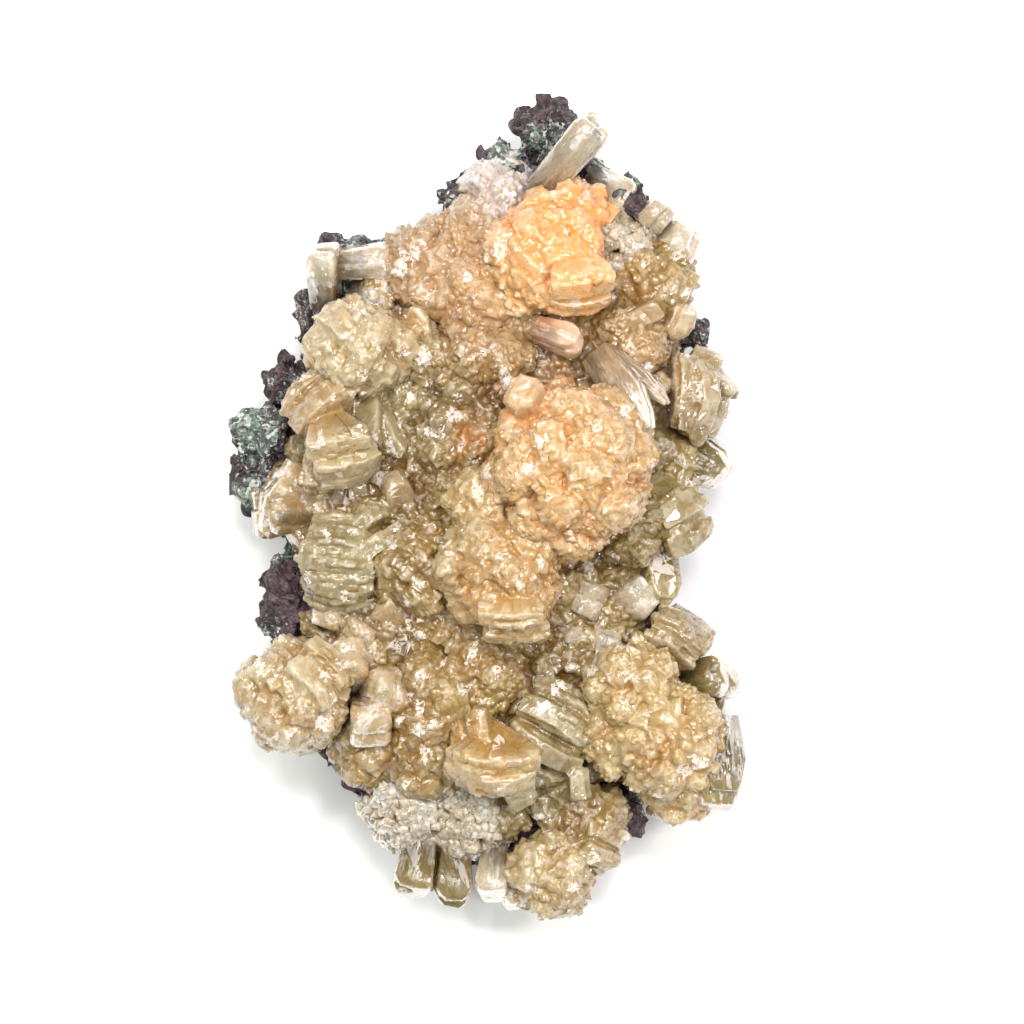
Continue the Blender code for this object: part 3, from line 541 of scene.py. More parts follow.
def move_corners(mesh, points):
    mesh.vertices.foreach_set("co", (np.asarray(points) * MM).astype(np.float32).ravel())


def mesh_object(name, points, faces):
    """An object from corners and triangles."""
    mesh = bpy.data.meshes.new(name)
    mesh.vertices.add(len(points))
    move_corners(mesh, points)
    mesh.loops.add(3 * len(faces))
    mesh.loops.foreach_set("vertex_index", np.asarray(faces).astype(np.int32).ravel())
    mesh.polygons.add(len(faces))
    mesh.polygons.foreach_set("loop_start", np.arange(0, 3 * len(faces), 3, dtype=np.int32))
    mesh.update(calc_edges=True)
    mesh.validate()
    thing = bpy.data.objects.new(name, mesh)
    bpy.context.scene.collection.objects.link(thing)
    return thing


def triangles_of(mesh):
    """Corners and triangles of a mesh."""
    mesh.calc_loop_triangles()
    points = np.empty(3 * len(mesh.vertices), np.float32)
    mesh.vertices.foreach_get("co", points)
    faces = np.empty(3 * len(mesh.loop_triangles), np.int32)
    mesh.loop_triangles.foreach_get("vertices", faces)
    return points.reshape(-1, 3).astype(float) / MM, faces.reshape(-1, 3)


def joined(solids):
    """Several closed shells, given as pairs of corners and triangles, as one."""
    points, faces, count = [], [], 0
    for some, triangles in solids:
        points.append(some)
        faces.append(np.asarray(triangles) + count)
        count += len(some)
    return np.concatenate(points), np.concatenate(faces)


def applied(thing, kind, **settings):
    """The object with one modifier applied to its mesh."""
    modifier = thing.modifiers.new(kind.lower(), kind)
    for key, value in settings.items():
        setattr(modifier, key, value)
    bpy.context.view_layer.update()
    graph = bpy.context.evaluated_depsgraph_get()
    mesh = bpy.data.meshes.new_from_object(thing.evaluated_get(graph))
    thing.modifiers.clear()
    old = thing.data
    thing.data = mesh
    bpy.data.meshes.remove(old)
    return thing


def largest_part(thing):
    """Leaves only the part with the most corners: a merged mesh can hold small bubbles."""
    points, faces = triangles_of(thing.data)
    label = np.arange(len(points))
    edges = np.concatenate([faces[:, [0, 1]], faces[:, [1, 2]]])
    while True:
        low = np.minimum(label[edges[:, 0]], label[edges[:, 1]])
        before = label.copy()
        np.minimum.at(label, edges[:, 0], low)
        np.minimum.at(label, edges[:, 1], low)
        label = label[label]
        if (label == before).all():
            break
    keep = label == np.bincount(label).argmax()
    number = np.cumsum(keep) - 1
    faces = number[faces[keep[faces[:, 0]]]]
    name = thing.name
    bpy.data.meshes.remove(thing.data)
    return mesh_object(name, points[keep], faces)


def merged(name, solids, cell=CELL, kept=KEPT):
    """One closed mesh round all of these solids, given as pairs of corners and triangles."""
    thing = mesh_object(name, *joined(solids))
    applied(thing, "REMESH", mode="VOXEL", voxel_size=cell * MM)
    return applied(largest_part(thing), "DECIMATE", ratio=kept)


def with_ends(thing, blades, share, rng):
    """The merged mass with the sharp ends of some of its blades, and the number of their faces."""
    loose = blades.some(share, rng).triangles()
    name = thing.name
    solids = [triangles_of(thing.data), loose]
    bpy.data.meshes.remove(thing.data)
    return mesh_object(name, *joined(solids)), len(loose[1])


def welded(points, faces):
    """The same triangles with shared corners."""
    _, first, number = np.unique(
        np.round(points, 3), axis=0, return_index=True, return_inverse=True
    )
    faces = number.reshape(-1)[faces]
    whole = (faces != np.roll(faces, -1, axis=1)).all(1)
    return points[first], faces[whole]


def normals_of(points, faces):
    """Outward normals of the corners, weighted by area."""
    a, b, c = (points[faces[:, i]] for i in range(3))
    across = np.cross(b - a, c - a)
    total = np.zeros_like(points)
    for i in range(3):
        np.add.at(total, faces[:, i], across)
    return total / np.maximum(np.linalg.norm(total, axis=1), 1e-9)[:, None]


def node_solid(node, inset=0.0):
    """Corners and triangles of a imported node, drawn in a little."""
    points, faces = welded(*triangles_of(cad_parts[node].data))
    return points - inset * normals_of(points, faces), faces


def hash_noise(points, size, salt):
    """Smooth random values from -1 to 1 that change over about this size."""
    q = np.asarray(points) / size + 131.7 * salt
    cell = np.floor(q).astype(np.int64)
    part = q - cell
    part = part * part * (3 - 2 * part)
    total = np.zeros(len(q))
    for corner in range(8):
        bit = np.array([corner & 1, corner >> 1 & 1, corner >> 2 & 1])
        key = ((cell + bit) * np.array([73856093, 19349663, 83492791])).sum(1) & 0x7FFFFFFF
        key = (key ^ (key >> 13)) * 1274126177 & 0x7FFFFFFF
        value = ((key ^ (key >> 16)) & 0xFFFF) / 32767.5 - 1
        total += value * np.prod(np.where(bit, part, 1 - part), axis=1)
    return total


def fractal(points, size, salt, octaves=3):
    """Noise of this size with finer noise on it."""
    total = np.zeros(len(points))
    for octave in range(octaves):
        total += hash_noise(points, size / 2**octave, salt + octave) / 2**octave
    return total


def put(thing, domain="POINT", **values):
    """Stores values on the corners or the faces of the mesh, for its material."""
    for name, value in values.items():
        value = np.asarray(value, np.float32)
        kind, key = ("FLOAT_VECTOR", "vector") if value.ndim == 2 else ("FLOAT", "value")
        thing.data.attributes.new(name, kind, domain).data.foreach_set(key, value.ravel())


def cell_of(points, size, salt):
    """A random vector for the irregular cell, about this wide, that each point is in."""
    at = points / size
    base = np.floor(at)
    nearest = np.full(len(at), np.inf)
    found = np.zeros((len(at), 3))
    for step in NEIGHBOURS:
        cell = base + step
        code = cell @ (127.1, 311.7, 74.7) + salt
        seed = [np.sin(code + shift) * 43758.5453 % 1 for shift in (0.0, 1.7, 4.1)]
        seed = np.stack(seed, axis=1)
        far = ((cell + seed - at) ** 2).sum(1)
        closer = far < nearest
        nearest[closer] = far[closer]
        found[closer] = seed[closer]
    return found * 7.31 % 1


def ridge_of(points, faces):
    """From 1 on a sharp edge or tip, through 0 on a flat, to -1 in a cleft.

    It is how far a corner stands out of the mesh after a few turns of smoothing, and after many.
    """
    normals = normals_of(points, faces)
    ends = np.concatenate([faces[:, [0, 1]], faces[:, [1, 2]], faces[:, [2, 0]]])
    count = np.maximum(np.bincount(ends[:, 0], minlength=len(points)), 1)
    gains = {2: 5.0, 11: 2.0}
    smooth = points.copy()
    total = 0
    for turn in range(max(gains) + 1):
        mean = [np.bincount(ends[:, 0], smooth[ends[:, 1], i], len(points)) for i in range(3)]
        smooth = 0.5 * smooth + 0.5 * np.stack([part / count for part in mean], axis=1)
        if turn in gains:
            total += ((points - smooth) * normals).sum(1) * gains[turn]
    return np.clip(total, -1, 1)


def facets_on(thing, points, faces, stria, ends):
    """Stores for each face a tilt that it shares with the faces round it, and one of its own.

    The last faces, as many as ends says, are those of loose blades, and share one on each side.
    """
    middle = (MOSAIC_RUN * points + stria)[faces].mean(1)
    number = np.arange(len(faces))
    loose = number - (len(faces) - ends)
    side = loose % BLADE_FACES
    side = np.where(side < SIDE_FACES, side // 2, SIDE_FACES // 2 + side % 2)
    own = len(faces) + loose // BLADE_FACES * BLADE_SIDES + side
    number = np.where(loose >= 0, own, number)
    chips = np.random.default_rng(len(faces)).uniform(0, 1, (2 * len(faces), 3))[number]
    put(thing, "FACE", large=cell_of(middle, 2.4, 3.0), small=chips)


def growth_of(points, rows):
    """How far out each corner is along its crystal, and its place across the crystal's growth."""
    rise = np.full(len(points), 9.0)
    across = np.zeros((len(points), 3))
    for row in rows:
        away = points - np.array(row.root)
        far = np.linalg.norm(away, axis=1)
        if isinstance(row, Prism):
            aim = np.array(row.aim, float)
            aim /= np.linalg.norm(aim)
            height = away @ aim
            out = np.clip(height / row.length, 0, 1) * 0.5 + 0.5
            beside = away - height[:, None] * aim
            out += np.maximum(0, np.linalg.norm(beside, axis=1) / row.width - 0.6)
            place = beside + 0.04 * height[:, None]
        else:
            out = far / row.reach
            place = away / np.maximum(far, 0.1)[:, None] * row.reach + 0.05 * far[:, None]
        nearer = out < rise
        rise[nearer] = out[nearer]
        across[nearer] = place[nearer]
    return rise, across


def near_of(points, circles):
    """From 1 in the middle of any of these circles, seen from above, to 0 well outside them."""
    total = np.zeros(len(points))
    for x, y, radius in circles:
        away = (points[:, 0] - x) ** 2 + (points[:, 1] - y) ** 2
        total = np.maximum(total, np.exp(-away / radius**2))
    return total


def light(red, green, blue):
    """A colour as Blender wants it, from the numbers 0 to 255 of a picture."""
    parts = [value / 255 for value in (red, green, blue)]
    linear = [
        value / 12.92 if value <= 0.04045 else ((value + 0.055) / 1.055) ** 2.4 for value in parts
    ]
    return (*linear, 1.0)


BLACK = (0, 0, 0, 1)
WHITE = (1, 1, 1, 1)
# What is left of each colour's light in a crystal, where the light that comes back makes it paler
TONE = (0.58, 0.53, 0.395)
BRIGHT_TONE = (0.66, 0.58, 0.44)
CLEAR_TONE = (0.86, 0.82, 0.74)
FROST_TONE = (0.62, 0.63, 0.69)

# The colours at the roots, in the body and at the tips, how clear and how cloudy it is, the
# lowest roughness and its range, the tilt of the large faces, how much of the orange and of the
# neighbours' colour it takes, how much light it absorbs, and the record's material slot
Tint = namedtuple(
    "Tint", "deep body tip clear scatter rough rough_range facets heart mingled absorb slot"
)


def colours(*rows, tone=TONE):
    return [(*(part * share for part, share in zip(light(*row), tone)), 1.0) for row in rows]


def solid_tint(*rows, heart, tone=TONE, facets=0.9, rough=(0.10, 0.25), mingled=0.5, peach=False):
    """Stellerite."""
    slot = "stellerite_peach" if peach else "stellerite_honey"
    return Tint(*colours(*rows, tone=tone), 0.0, 0.0, *rough, facets, heart, mingled, 0, slot)


def clear_tint(*rows, heart, absorb, clear=0.35, facets=0.4, rough=(0.12, 0.22)):
    """Heulandite."""
    found = colours(*rows, tone=CLEAR_TONE)
    return Tint(*found, clear, 0.5, *rough, facets, heart, 0.15, absorb, "heulandite")


HEART_COLOUR, PALE_COLOUR = colours((255, 190, 130), (212, 176, 150), tone=BRIGHT_TONE)
# Painted shade: the colour that clefts between crystals are multiplied by, darker and more orange
CLEFT_SHADE_COLOUR = (1.06, 0.92, 0.62, 1)
# Painted highlight: the colour that sharp crystal edges and tips are made paler towards
EDGE_HIGHLIGHT_COLOUR = light(226, 212, 186)
# Painted glint: a few patches of faces turned pale lilac-white, standing in for reflections of the
# lamps
PAINTED_GLINT_COLOUR = light(246, 238, 230)
TINTS = {
    "apricot": solid_tint(
        (255, 190, 120), (254, 208, 152), (252, 222, 180), heart=0.5, tone=BRIGHT_TONE, peach=True
    ),
    "peach": solid_tint(
        (234, 170, 106), (222, 180, 132), (226, 198, 160), heart=0.5, tone=BRIGHT_TONE, peach=True
    ),
    "warm": solid_tint((206, 166, 106), (212, 186, 146), (224, 206, 172), heart=0.3, peach=True),
    "cream": solid_tint((196, 166, 122), (206, 190, 160), (222, 212, 194), heart=0.3),
    "honey": solid_tint((150, 114, 52), (162, 134, 80), (182, 160, 114), heart=0.4),
    "rose": solid_tint((190, 146, 110), (196, 166, 140), (208, 186, 166), heart=0.4),
    "crust": solid_tint((112, 82, 34), (126, 102, 54), (152, 132, 86), heart=0.6),
    "olive": solid_tint((130, 110, 54), (150, 132, 82), (176, 162, 118), heart=0.2, facets=0.8),
    "taupe": solid_tint((138, 114, 76), (156, 138, 104), (182, 168, 138), heart=0.2, facets=0.8),
    "greenish": solid_tint(
        (132, 120, 80), (152, 144, 112), (178, 172, 148), heart=0.1, facets=0.8, rough=(0.08, 0.22)
    ),
    "frost": solid_tint(
        (176, 154, 134), (208, 194, 184), (232, 226, 222), heart=0.2, tone=FROST_TONE, mingled=0.15
    ),
    "pink_clear": clear_tint(
        (226, 176, 150), (248, 214, 192), (252, 232, 214), heart=0.1, absorb=20, clear=0.3,
        facets=0.35, rough=(0.08, 0.18),
    ),
    "tan_clear": clear_tint(
        (176, 144, 100), (206, 180, 140), (228, 210, 180), heart=0.1, absorb=25
    ),
    "grey_clear": clear_tint(
        (190, 172, 146), (218, 206, 186), (238, 230, 218), heart=0.0, absorb=20
    ),
    "green_clear": clear_tint(
        (112, 98, 50), (140, 126, 76), (172, 158, 112), heart=0.0, absorb=25
    ),
}

# Rise, from 0 at a crystal's root to 1 at its end, at which it has its deep, body and tip colour
LEVELS = (0.66, 0.85, 1.0)
# How much of the pale colour, the painted cleft shade, the painted edge highlight and the painted
# glint there is where each is strongest
PALE_SHARE, CLEFT_SHADE_SHARE, EDGE_HIGHLIGHT_SHARE, PAINTED_GLINT_SHARE = 0.45, 0.6, 0.22, 0.5
# How many ribs, fine bumps, and large and small cells of a clear crystal there are in a millimetre
RIBS, FINE, LARGE_CELLS, SMALL_CELLS = 2.2, 3.2, 0.55, 2.4
# Tilt of the small faces under the gloss, and in it
SMALL_TILT, COAT_TILT = 0.25, 0.45


class Graph:
    """Short words for the nodes of one material."""

    def __init__(self, name):
        self.material = bpy.data.materials.new(name)
        self.material.use_nodes = True
        self.tree = self.material.node_tree
        self.shader = self.tree.nodes["Principled BSDF"]

    def feed(self, socket, value):
        """Links a socket to a node's output, or sets it to a constant."""
        if isinstance(value, bpy.types.NodeSocket):
            self.tree.links.new(value, socket)
        else:
            socket.default_value = value

    def made(self, kind, *values, output=0, setup=(), **named):
        """An output of a new node, with values at its first sockets and at named ones."""
        node = self.tree.nodes.new(kind)
        for key, value in dict(setup).items():
            setattr(node, key, value)
        for key, value in (*enumerate(values), *named.items()):
            self.feed(node.inputs[key], value)
        return node.outputs[output]

    def surface(self, **values):
        """Feeds the shader's sockets, with _ in place of each space in their names."""
        for name, value in values.items():
            self.feed(self.shader.inputs[name.replace("_", " ")], value)

    def maths(self, operation, *values, clamp=False):
        setup = {"operation": operation, "use_clamp": clamp}
        return self.made("ShaderNodeMath", *values, setup=setup)

    def times(self, one, other, clamp=False):
        return self.maths("MULTIPLY", one, other, clamp=clamp)

    def over(self, value, start, gain, clamp=False):
        """How far the value is over start, times gain."""
        return self.times(self.maths("SUBTRACT", value, start), gain, clamp)

    def vectors(self, operation, *values, **named):
        setup = {"operation": operation}
        return self.made("ShaderNodeVectorMath", *values, setup=setup, **named)

    def attribute(self, name, output="Fac"):
        return self.made("ShaderNodeAttribute", output=output, setup={"attribute_name": name})

    def place(self):
        """Object coordinates in millimetres."""
        return self.vectors("SCALE", self.made("ShaderNodeTexCoord", output="Object"), Scale=1 / MM)

    def noise(self, vector, scale, detail=3.0, roughness=0.55):
        values = {"Vector": vector, "Scale": scale, "Detail": detail, "Roughness": roughness}
        return self.made("ShaderNodeTexNoise", output="Fac", **values)

    def cells(self, vector, scale, output="Color"):
        return self.made("ShaderNodeTexVoronoi", output=output, Vector=vector, Scale=scale)

    def parts(self, colour):
        """The three numbers of a colour."""
        return self.made("ShaderNodeSeparateColor", colour).node.outputs

    def ramp(self, value, *stops):
        node = self.tree.nodes.new("ShaderNodeValToRGB")
        self.feed(node.inputs[0], value)
        elements = node.color_ramp.elements
        while len(elements) < len(stops):
            elements.new(0.5)
        for element, (position, colour) in zip(elements, stops):
            element.position = position
            element.color = colour
        return node.outputs[0]

    def mix(self, factor, one, other, blend="MIX"):
        node = self.tree.nodes.new("ShaderNodeMix")
        node.data_type, node.blend_type = "RGBA", blend
        for index, value in ((0, factor), (6, one), (7, other)):
            self.feed(node.inputs[index], value)
        return node.outputs[2]

    def shaded(self, colour, value, *stops):
        """The colour times a ramp of the value."""
        return self.mix(1.0, colour, self.ramp(value, *stops), "MULTIPLY")

    def bump(self, height, distance, strength, **before):
        values = {"Height": height, "Distance": distance * MM, "Strength": strength, **before}
        return self.made("ShaderNodeBump", **values)

    def facets(self, cell, amount, before=None):
        """The normal tilted at random from cell to cell."""
        off = self.vectors("SUBTRACT", cell, (0.5, 0.5, 0.5))
        before = before or self.made("ShaderNodeNewGeometry", output="Normal")
        return self.vectors("NORMALIZE", self.vectors("MULTIPLY_ADD", off, (amount,) * 3, before))


def crystal_material(name, tint):
    """Crystal with deeper colour towards the roots, fine ribs and a mosaic of small faces."""
    graph = Graph(name)
    clear = tint.absorb > 0
    rise = graph.attribute("rise")
    stria = graph.attribute("stria", "Vector")
    place = graph.place()

    # Deeper colour towards the roots: partly the crystals' own colour, partly painted shade and
    # glow in the recesses between crystals
    colour = graph.ramp(rise, *zip(LEVELS, (tint.deep, tint.body, tint.tip)))
    high = graph.over(rise, LEVELS[0], 2.9, clamp=True)
    around = graph.mix(
        high, graph.attribute("wash_deep", "Color"), graph.attribute("wash_tip", "Color")
    )
    colour = graph.mix(tint.mingled, colour, around)
    colour = graph.mix(graph.times(graph.attribute("pale"), PALE_SHARE), colour, PALE_COLOUR)
    inner = graph.times(graph.maths("SUBTRACT", 1.1, rise, clamp=True), 3.0, clamp=True)
    orange = graph.times(graph.times(graph.attribute("heart"), tint.heart), inner, clamp=True)
    colour = graph.mix(orange, colour, HEART_COLOUR)
    # Painted shade and glow: clefts made darker and more orange, in place of shade and light
    # scattered between the crystals
    ridge = graph.attribute("ridge")
    cleft = graph.mix(1.0, colour, CLEFT_SHADE_COLOUR, "MULTIPLY")
    colour = graph.mix(graph.times(ridge, -CLEFT_SHADE_SHARE, clamp=True), colour, cleft)
    # Painted highlight: sharp edges and tips made paler, in place of light scattering out of thin
    # edges
    colour = graph.mix(graph.times(ridge, EDGE_HIGHLIGHT_SHARE, clamp=True), colour, EDGE_HIGHLIGHT_COLOUR)
    ribs = graph.noise(stria, RIBS, 3.0, 0.62)
    colour = graph.shaded(colour, ribs, (0.3, (0.87, 0.85, 0.82, 1)), (0.7, (1.1, 1.1, 1.11, 1)))

    if clear:
        run = graph.vectors("MULTIPLY_ADD", place, (MOSAIC_RUN,) * 3, stria)
        large, small = graph.cells(run, LARGE_CELLS), graph.cells(run, SMALL_CELLS)
    else:
        large, small = graph.attribute("large", "Color"), graph.attribute("small", "Color")
    patch, speck = graph.parts(large), graph.parts(small)
    colour = graph.shaded(
        colour, patch[0], (0.0, (0.9, 0.88, 0.84, 1)), (1.0, (1.08, 1.09, 1.1, 1))
    )
    colour = graph.shaded(
        colour, speck[0], (0.0, (0.94, 0.93, 0.91, 1)), (1.0, (1.06, 1.06, 1.06, 1))
    )
    # Painted glints: a few rare cells turned pale lilac-white in the base colour, in place of
    # reflections of the lamps
    glint_cells = graph.maths("GREATER_THAN", patch[1], 0.85 if clear else 0.95)
    painted_glint = graph.times(glint_cells, graph.maths("GREATER_THAN", speck[2], 0.25))
    colour = graph.mix(graph.times(painted_glint, PAINTED_GLINT_SHARE), colour, PAINTED_GLINT_COLOUR)

    height = graph.maths("MULTIPLY_ADD", ribs, 0.8, graph.noise(place, FINE, 2.0))
    normal = graph.bump(height, 0.04 if clear else 0.07, 0.8)
    graph.surface(
        Base_Color=colour,
        Roughness=graph.maths("MULTIPLY_ADD", speck[1], tint.rough_range, tint.rough, clamp=True),
        Normal=graph.facets(small, SMALL_TILT, normal),
        IOR=1.5,
        Transmission_Weight=tint.clear,
        Subsurface_Weight=tint.scatter,
        Subsurface_Radius=(1.0, 0.75, 0.5),
        Subsurface_Scale=1.0 * MM,
        Coat_Normal=graph.facets(small, COAT_TILT, graph.facets(large, tint.facets)),
        Coat_Weight=0.6 if clear else 0.8,
        Coat_IOR=1.5 if clear else 1.65,
        Coat_Roughness=0.04,
    )
    if clear:
        volume = graph.made("ShaderNodeVolumeAbsorption", tint.body, tint.absorb)
        graph.feed(graph.tree.nodes["Material Output"].inputs["Volume"], volume)
    return graph.material


def rock_material():
    """Dark vesicular basalt: green where weathered, chalky in places, sawn smooth underneath."""
    graph = Graph("basalt")
    place = graph.place()
    broad = graph.noise(place, 0.35, 4.0, 0.6)
    fine = graph.noise(place, 2.4, 5.0, 0.65)
    grain = graph.parts(graph.cells(place, 1.9))
    rock = (0.32, light(40, 30, 33)), (0.5, light(68, 52, 56)), (0.68, light(96, 77, 81))
    bright = graph.times(graph.maths("POWER", grain[0], 3.0), 0.6)
    colour = graph.mix(bright, graph.ramp(broad, *rock), light(130, 106, 112))
    # The rock darker in patches of noise
    dark_patches = graph.ramp(graph.noise(place, 0.9), (0.36, WHITE), (0.5, BLACK))
    colour = graph.mix(dark_patches, colour, light(38, 28, 30))

    spread = graph.maths("ADD", graph.over(fine, 0.5, 1.2), graph.over(grain[2], 0.5, 0.5))
    green = graph.maths("ADD", graph.attribute("green"), spread, clamp=True)
    green = graph.ramp(green, (0.44, BLACK), (0.62, (0.9, 0.9, 0.9, 1)))
    hues = (
        (0.05, light(62, 76, 72)), (0.4, light(106, 124, 116)), (0.7, light(158, 170, 158)),
        (0.9, light(212, 216, 204)),
    )
    colour = graph.mix(green, colour, graph.ramp(grain[1], *hues))

    chalk = graph.maths("ADD", graph.attribute("chalk"), graph.over(fine, 0.5, 1.3), clamp=True)
    chalk = graph.ramp(chalk, (0.45, BLACK), (0.65, WHITE))
    pale = graph.ramp(broad, (0.35, light(150, 140, 132)), (0.6, light(222, 214, 202)))
    colour = graph.mix(chalk, colour, pale)

    cut = (0.40, light(58, 48, 50)), (0.52, light(86, 76, 76)), (0.63, light(132, 124, 116))
    colour = graph.mix(graph.attribute("sawn"), colour, graph.ramp(fine, *cut))
    bubbles = graph.times(graph.cells(place, 1.9, "Distance"), -1.0)
    graph.surface(
        Base_Color=colour,
        Roughness=graph.maths("MULTIPLY_ADD", grain[2], 0.35, 0.5, clamp=True),
        Normal=graph.bump(bubbles, 0.35, 0.9, Normal=graph.bump(fine, 0.35, 0.9)),
        Specular_IOR_Level=0.45,
    )
    return graph.material


def kept_in_box(points):
    return np.clip(points, CAD_LOW + BOX_MARGIN, CAD_HIGH - BOX_MARGIN)


def ball_core(row):
    """A plain ball just under the crystal ends, so that no gap between them goes deep."""
    shape = bmesh.new()
    bmesh.ops.create_icosphere(shape, subdivisions=3, radius=0.72 * row.reach)
    middle = Vector(row.root) + 0.02 * row.reach * Vector(row.aim).normalized()
    bmesh.ops.translate(shape, verts=shape.verts, vec=middle)
    points = np.array([corner.co for corner in shape.verts])
    faces = np.array([[corner.index for corner in face.verts] for face in shape.faces])
    shape.free()
    points[:, 2] = np.maximum(points[:, 2], 3.0)
    return points, faces


def wash_of(points):
    """The deep and the tip colour of the stellerite all round, so that neighbours run together."""
    crust = TINTS["crust"]
    weight = np.full(len(points), 0.35)
    deep = np.outer(weight, crust.deep[:3])
    tip = np.outer(weight, crust.tip[:3])
    for name, rows in AGGREGATES.items():
        tint = TINTS[TINT_OF[name]]
        for row in rows if not tint.absorb else ():
            size = row.length if isinstance(row, Prism) else row.reach
            aim = np.array(row.aim) / np.linalg.norm(row.aim)
            middle = np.array(row.root) + aim * size * (0.2 if isinstance(row, Burst) else 0.5)
            near = np.linalg.norm(points - middle, axis=1) - 0.5 * size
            share = np.exp(-((np.maximum(near, 0) / 4.5) ** 2))
            weight += share
            deep += np.outer(share, tint.deep[:3])
            tip += np.outer(share, tint.tip[:3])
    return deep / weight[:, None], tip / weight[:, None]


def mark(thing, points, faces, rise, stria, ends, clear=False):
    """Stores what the crystals' material reads."""
    deep, tip = wash_of(points)
    put(
        thing, rise=rise + 0.14 * fractal(points, 4.5, 41), stria=stria,
        heart=near_of(points, HEARTS), pale=near_of(points, PALE), wash_deep=deep, wash_tip=tip,
        ridge=np.zeros(len(points)) if clear else ridge_of(points, faces),
    )
    if not clear:
        facets_on(thing, points, faces, stria, ends)


def dress(name, rows):
    """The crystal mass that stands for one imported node."""
    clear = name.startswith("heulandite")
    large, small = Blades(), Blades()
    for row in rows:
        BLADES_OF[type(row)](large if isinstance(row, Prism) else small, row, clear)
    sections = (large, PLATE_SIDES), (small, FOUR_SIDES)
    solids = [blades.triangles(section) for blades, section in sections if blades.rows]
    ends = 0
    if clear:
        thing = mesh_object(name + "_crystals", *joined(solids))
    else:
        solids.append(node_solid(name, 0.5))
        solids += [ball_core(row) for row in rows if isinstance(row, Burst)]
        thing = merged(name + "_crystals", solids)
        if small.rows:
            share = FAN_ENDS if any(isinstance(row, Fan) for row in rows) else ENDS
            thing, ends = with_ends(thing, small, share, many("ends", name))
    points, faces = triangles_of(thing.data)
    points = kept_in_box(points)
    move_corners(thing.data, points)
    mark(thing, points, faces, *growth_of(points, rows), ends, clear)
    return thing


def surface_spots(points, faces, spacing, rng):
    """Points at least this far apart all over a surface, with the surface's normal at each."""
    a, b, c = (points[faces[:, i]] for i in range(3))
    across = np.cross(b - a, c - a)
    area = 0.5 * np.linalg.norm(across, axis=1)
    count = int(area.sum() / spacing**2 * 5)
    chosen = rng.choice(len(faces), count, p=area / area.sum())
    u, v = rng.uniform(0, 1, (2, count))
    over = u + v > 1
    u[over], v[over] = 1 - u[over], 1 - v[over]
    spots = a[chosen] + u[:, None] * (b - a)[chosen] + v[:, None] * (c - a)[chosen]
    normals = across[chosen] / (2 * area[chosen])[:, None]
    taken, kept = {}, []
    for index, spot in enumerate(spots):
        key = (spot // spacing).astype(int)
        near = (other for step in NEIGHBOURS for other in taken.get(tuple(key + step), ()))
        if all(((spots[other] - spot) ** 2).sum() >= spacing**2 for other in near):
            taken.setdefault(tuple(key), []).append(index)
            kept.append(index)
    return spots[kept], normals[kept]


def open_spots(solid, spacing, rng, deep):
    """Spots on the crust that face up or sideways, without those deep inside one of the balls."""
    spots, normals = surface_spots(*solid, spacing, rng)
    use = normals[:, 2] > -0.3
    for row in itertools.chain(*AGGREGATES.values()):
        if isinstance(row, Burst):
            use &= np.linalg.norm(spots - np.array(row.root), axis=1) >= deep * row.reach
    return zip(spots[use], normals[use])


# The crust's rosettes and blocks: how far apart they are, their sizes, the share of a ball's reach
# within which they are left out, and how deep under the surface a block's root is
ROSETTES_APART, ROSETTE_REACHES, ROSETTES_OUT = 4.6, (2.4, 5.4), 0.75
BLOCKS_APART, BLOCK_SIZES, BLOCKS_OUT, BLOCK_DEPTH = 2.3, (0.8, 1.45), 0.8, 2.2


def dress_crust():
    """Small crystals that stand all over the crust."""
    rng = many("crust")
    solid = node_solid("stellerite_crust")
    blades = Blades()
    for spot, normal in open_spots(solid, ROSETTES_APART, rng, ROSETTES_OUT):
        reach = rng.uniform(*ROSETTE_REACHES)
        rosette(blades, spot - 0.3 * reach * normal, normal + (0, 0, 0.3), reach, rng)
    for spot, normal in open_spots(solid, BLOCKS_APART, rng, BLOCKS_OUT):
        turn = axes(normal + rng.normal(0, 0.28, 3) + (0, 0, 0.25), rng.normal(0, 1, 3))
        size = rng.uniform(*BLOCK_SIZES)
        root = spot - np.array(turn)[:, 2] * BLOCK_DEPTH
        sizes = BLOCK_DEPTH + 1.4 * size, 2.7 * size, 1.9 * size
        block(blades, root, turn, *sizes, rng, dome=0.14, flare=0.12)
    thing = merged("stellerite_crust_crystals", [blades.triangles(), solid])
    thing, ends = with_ends(thing, blades, CRUST_ENDS, rng)
    points, faces = triangles_of(thing.data)
    tree = BVHTree.FromPolygons(*(part.tolist() for part in solid))
    far = np.array([tree.find_nearest(point)[3] for point in points])
    mark(thing, points, faces, 0.62 + far / 4.2, points * (1, 1, 0.25), ends)
    return thing


# The rock: how far apart its lumps are and their sizes, its merging grid and the faces kept of it
LUMPS, LUMP_SIZES, ROCK_CELL, ROCK_KEPT = 2.6, (0.8, 2.4), 0.42, 0.4
# Its vesicles: how many, their radii and how common each is
PITS, PIT_RADII, PIT_SHARES = 700, (0.6, 0.8, 1.1, 1.5), (0.4, 0.3, 0.2, 0.1)
# The height of the sawn face, up to which nothing is moved, and where lumps and pits start
SAWN_TOP, FREE_FROM, LUMPS_FROM, PITS_FROM = 0.06, 0.25, 1.5, 1.2


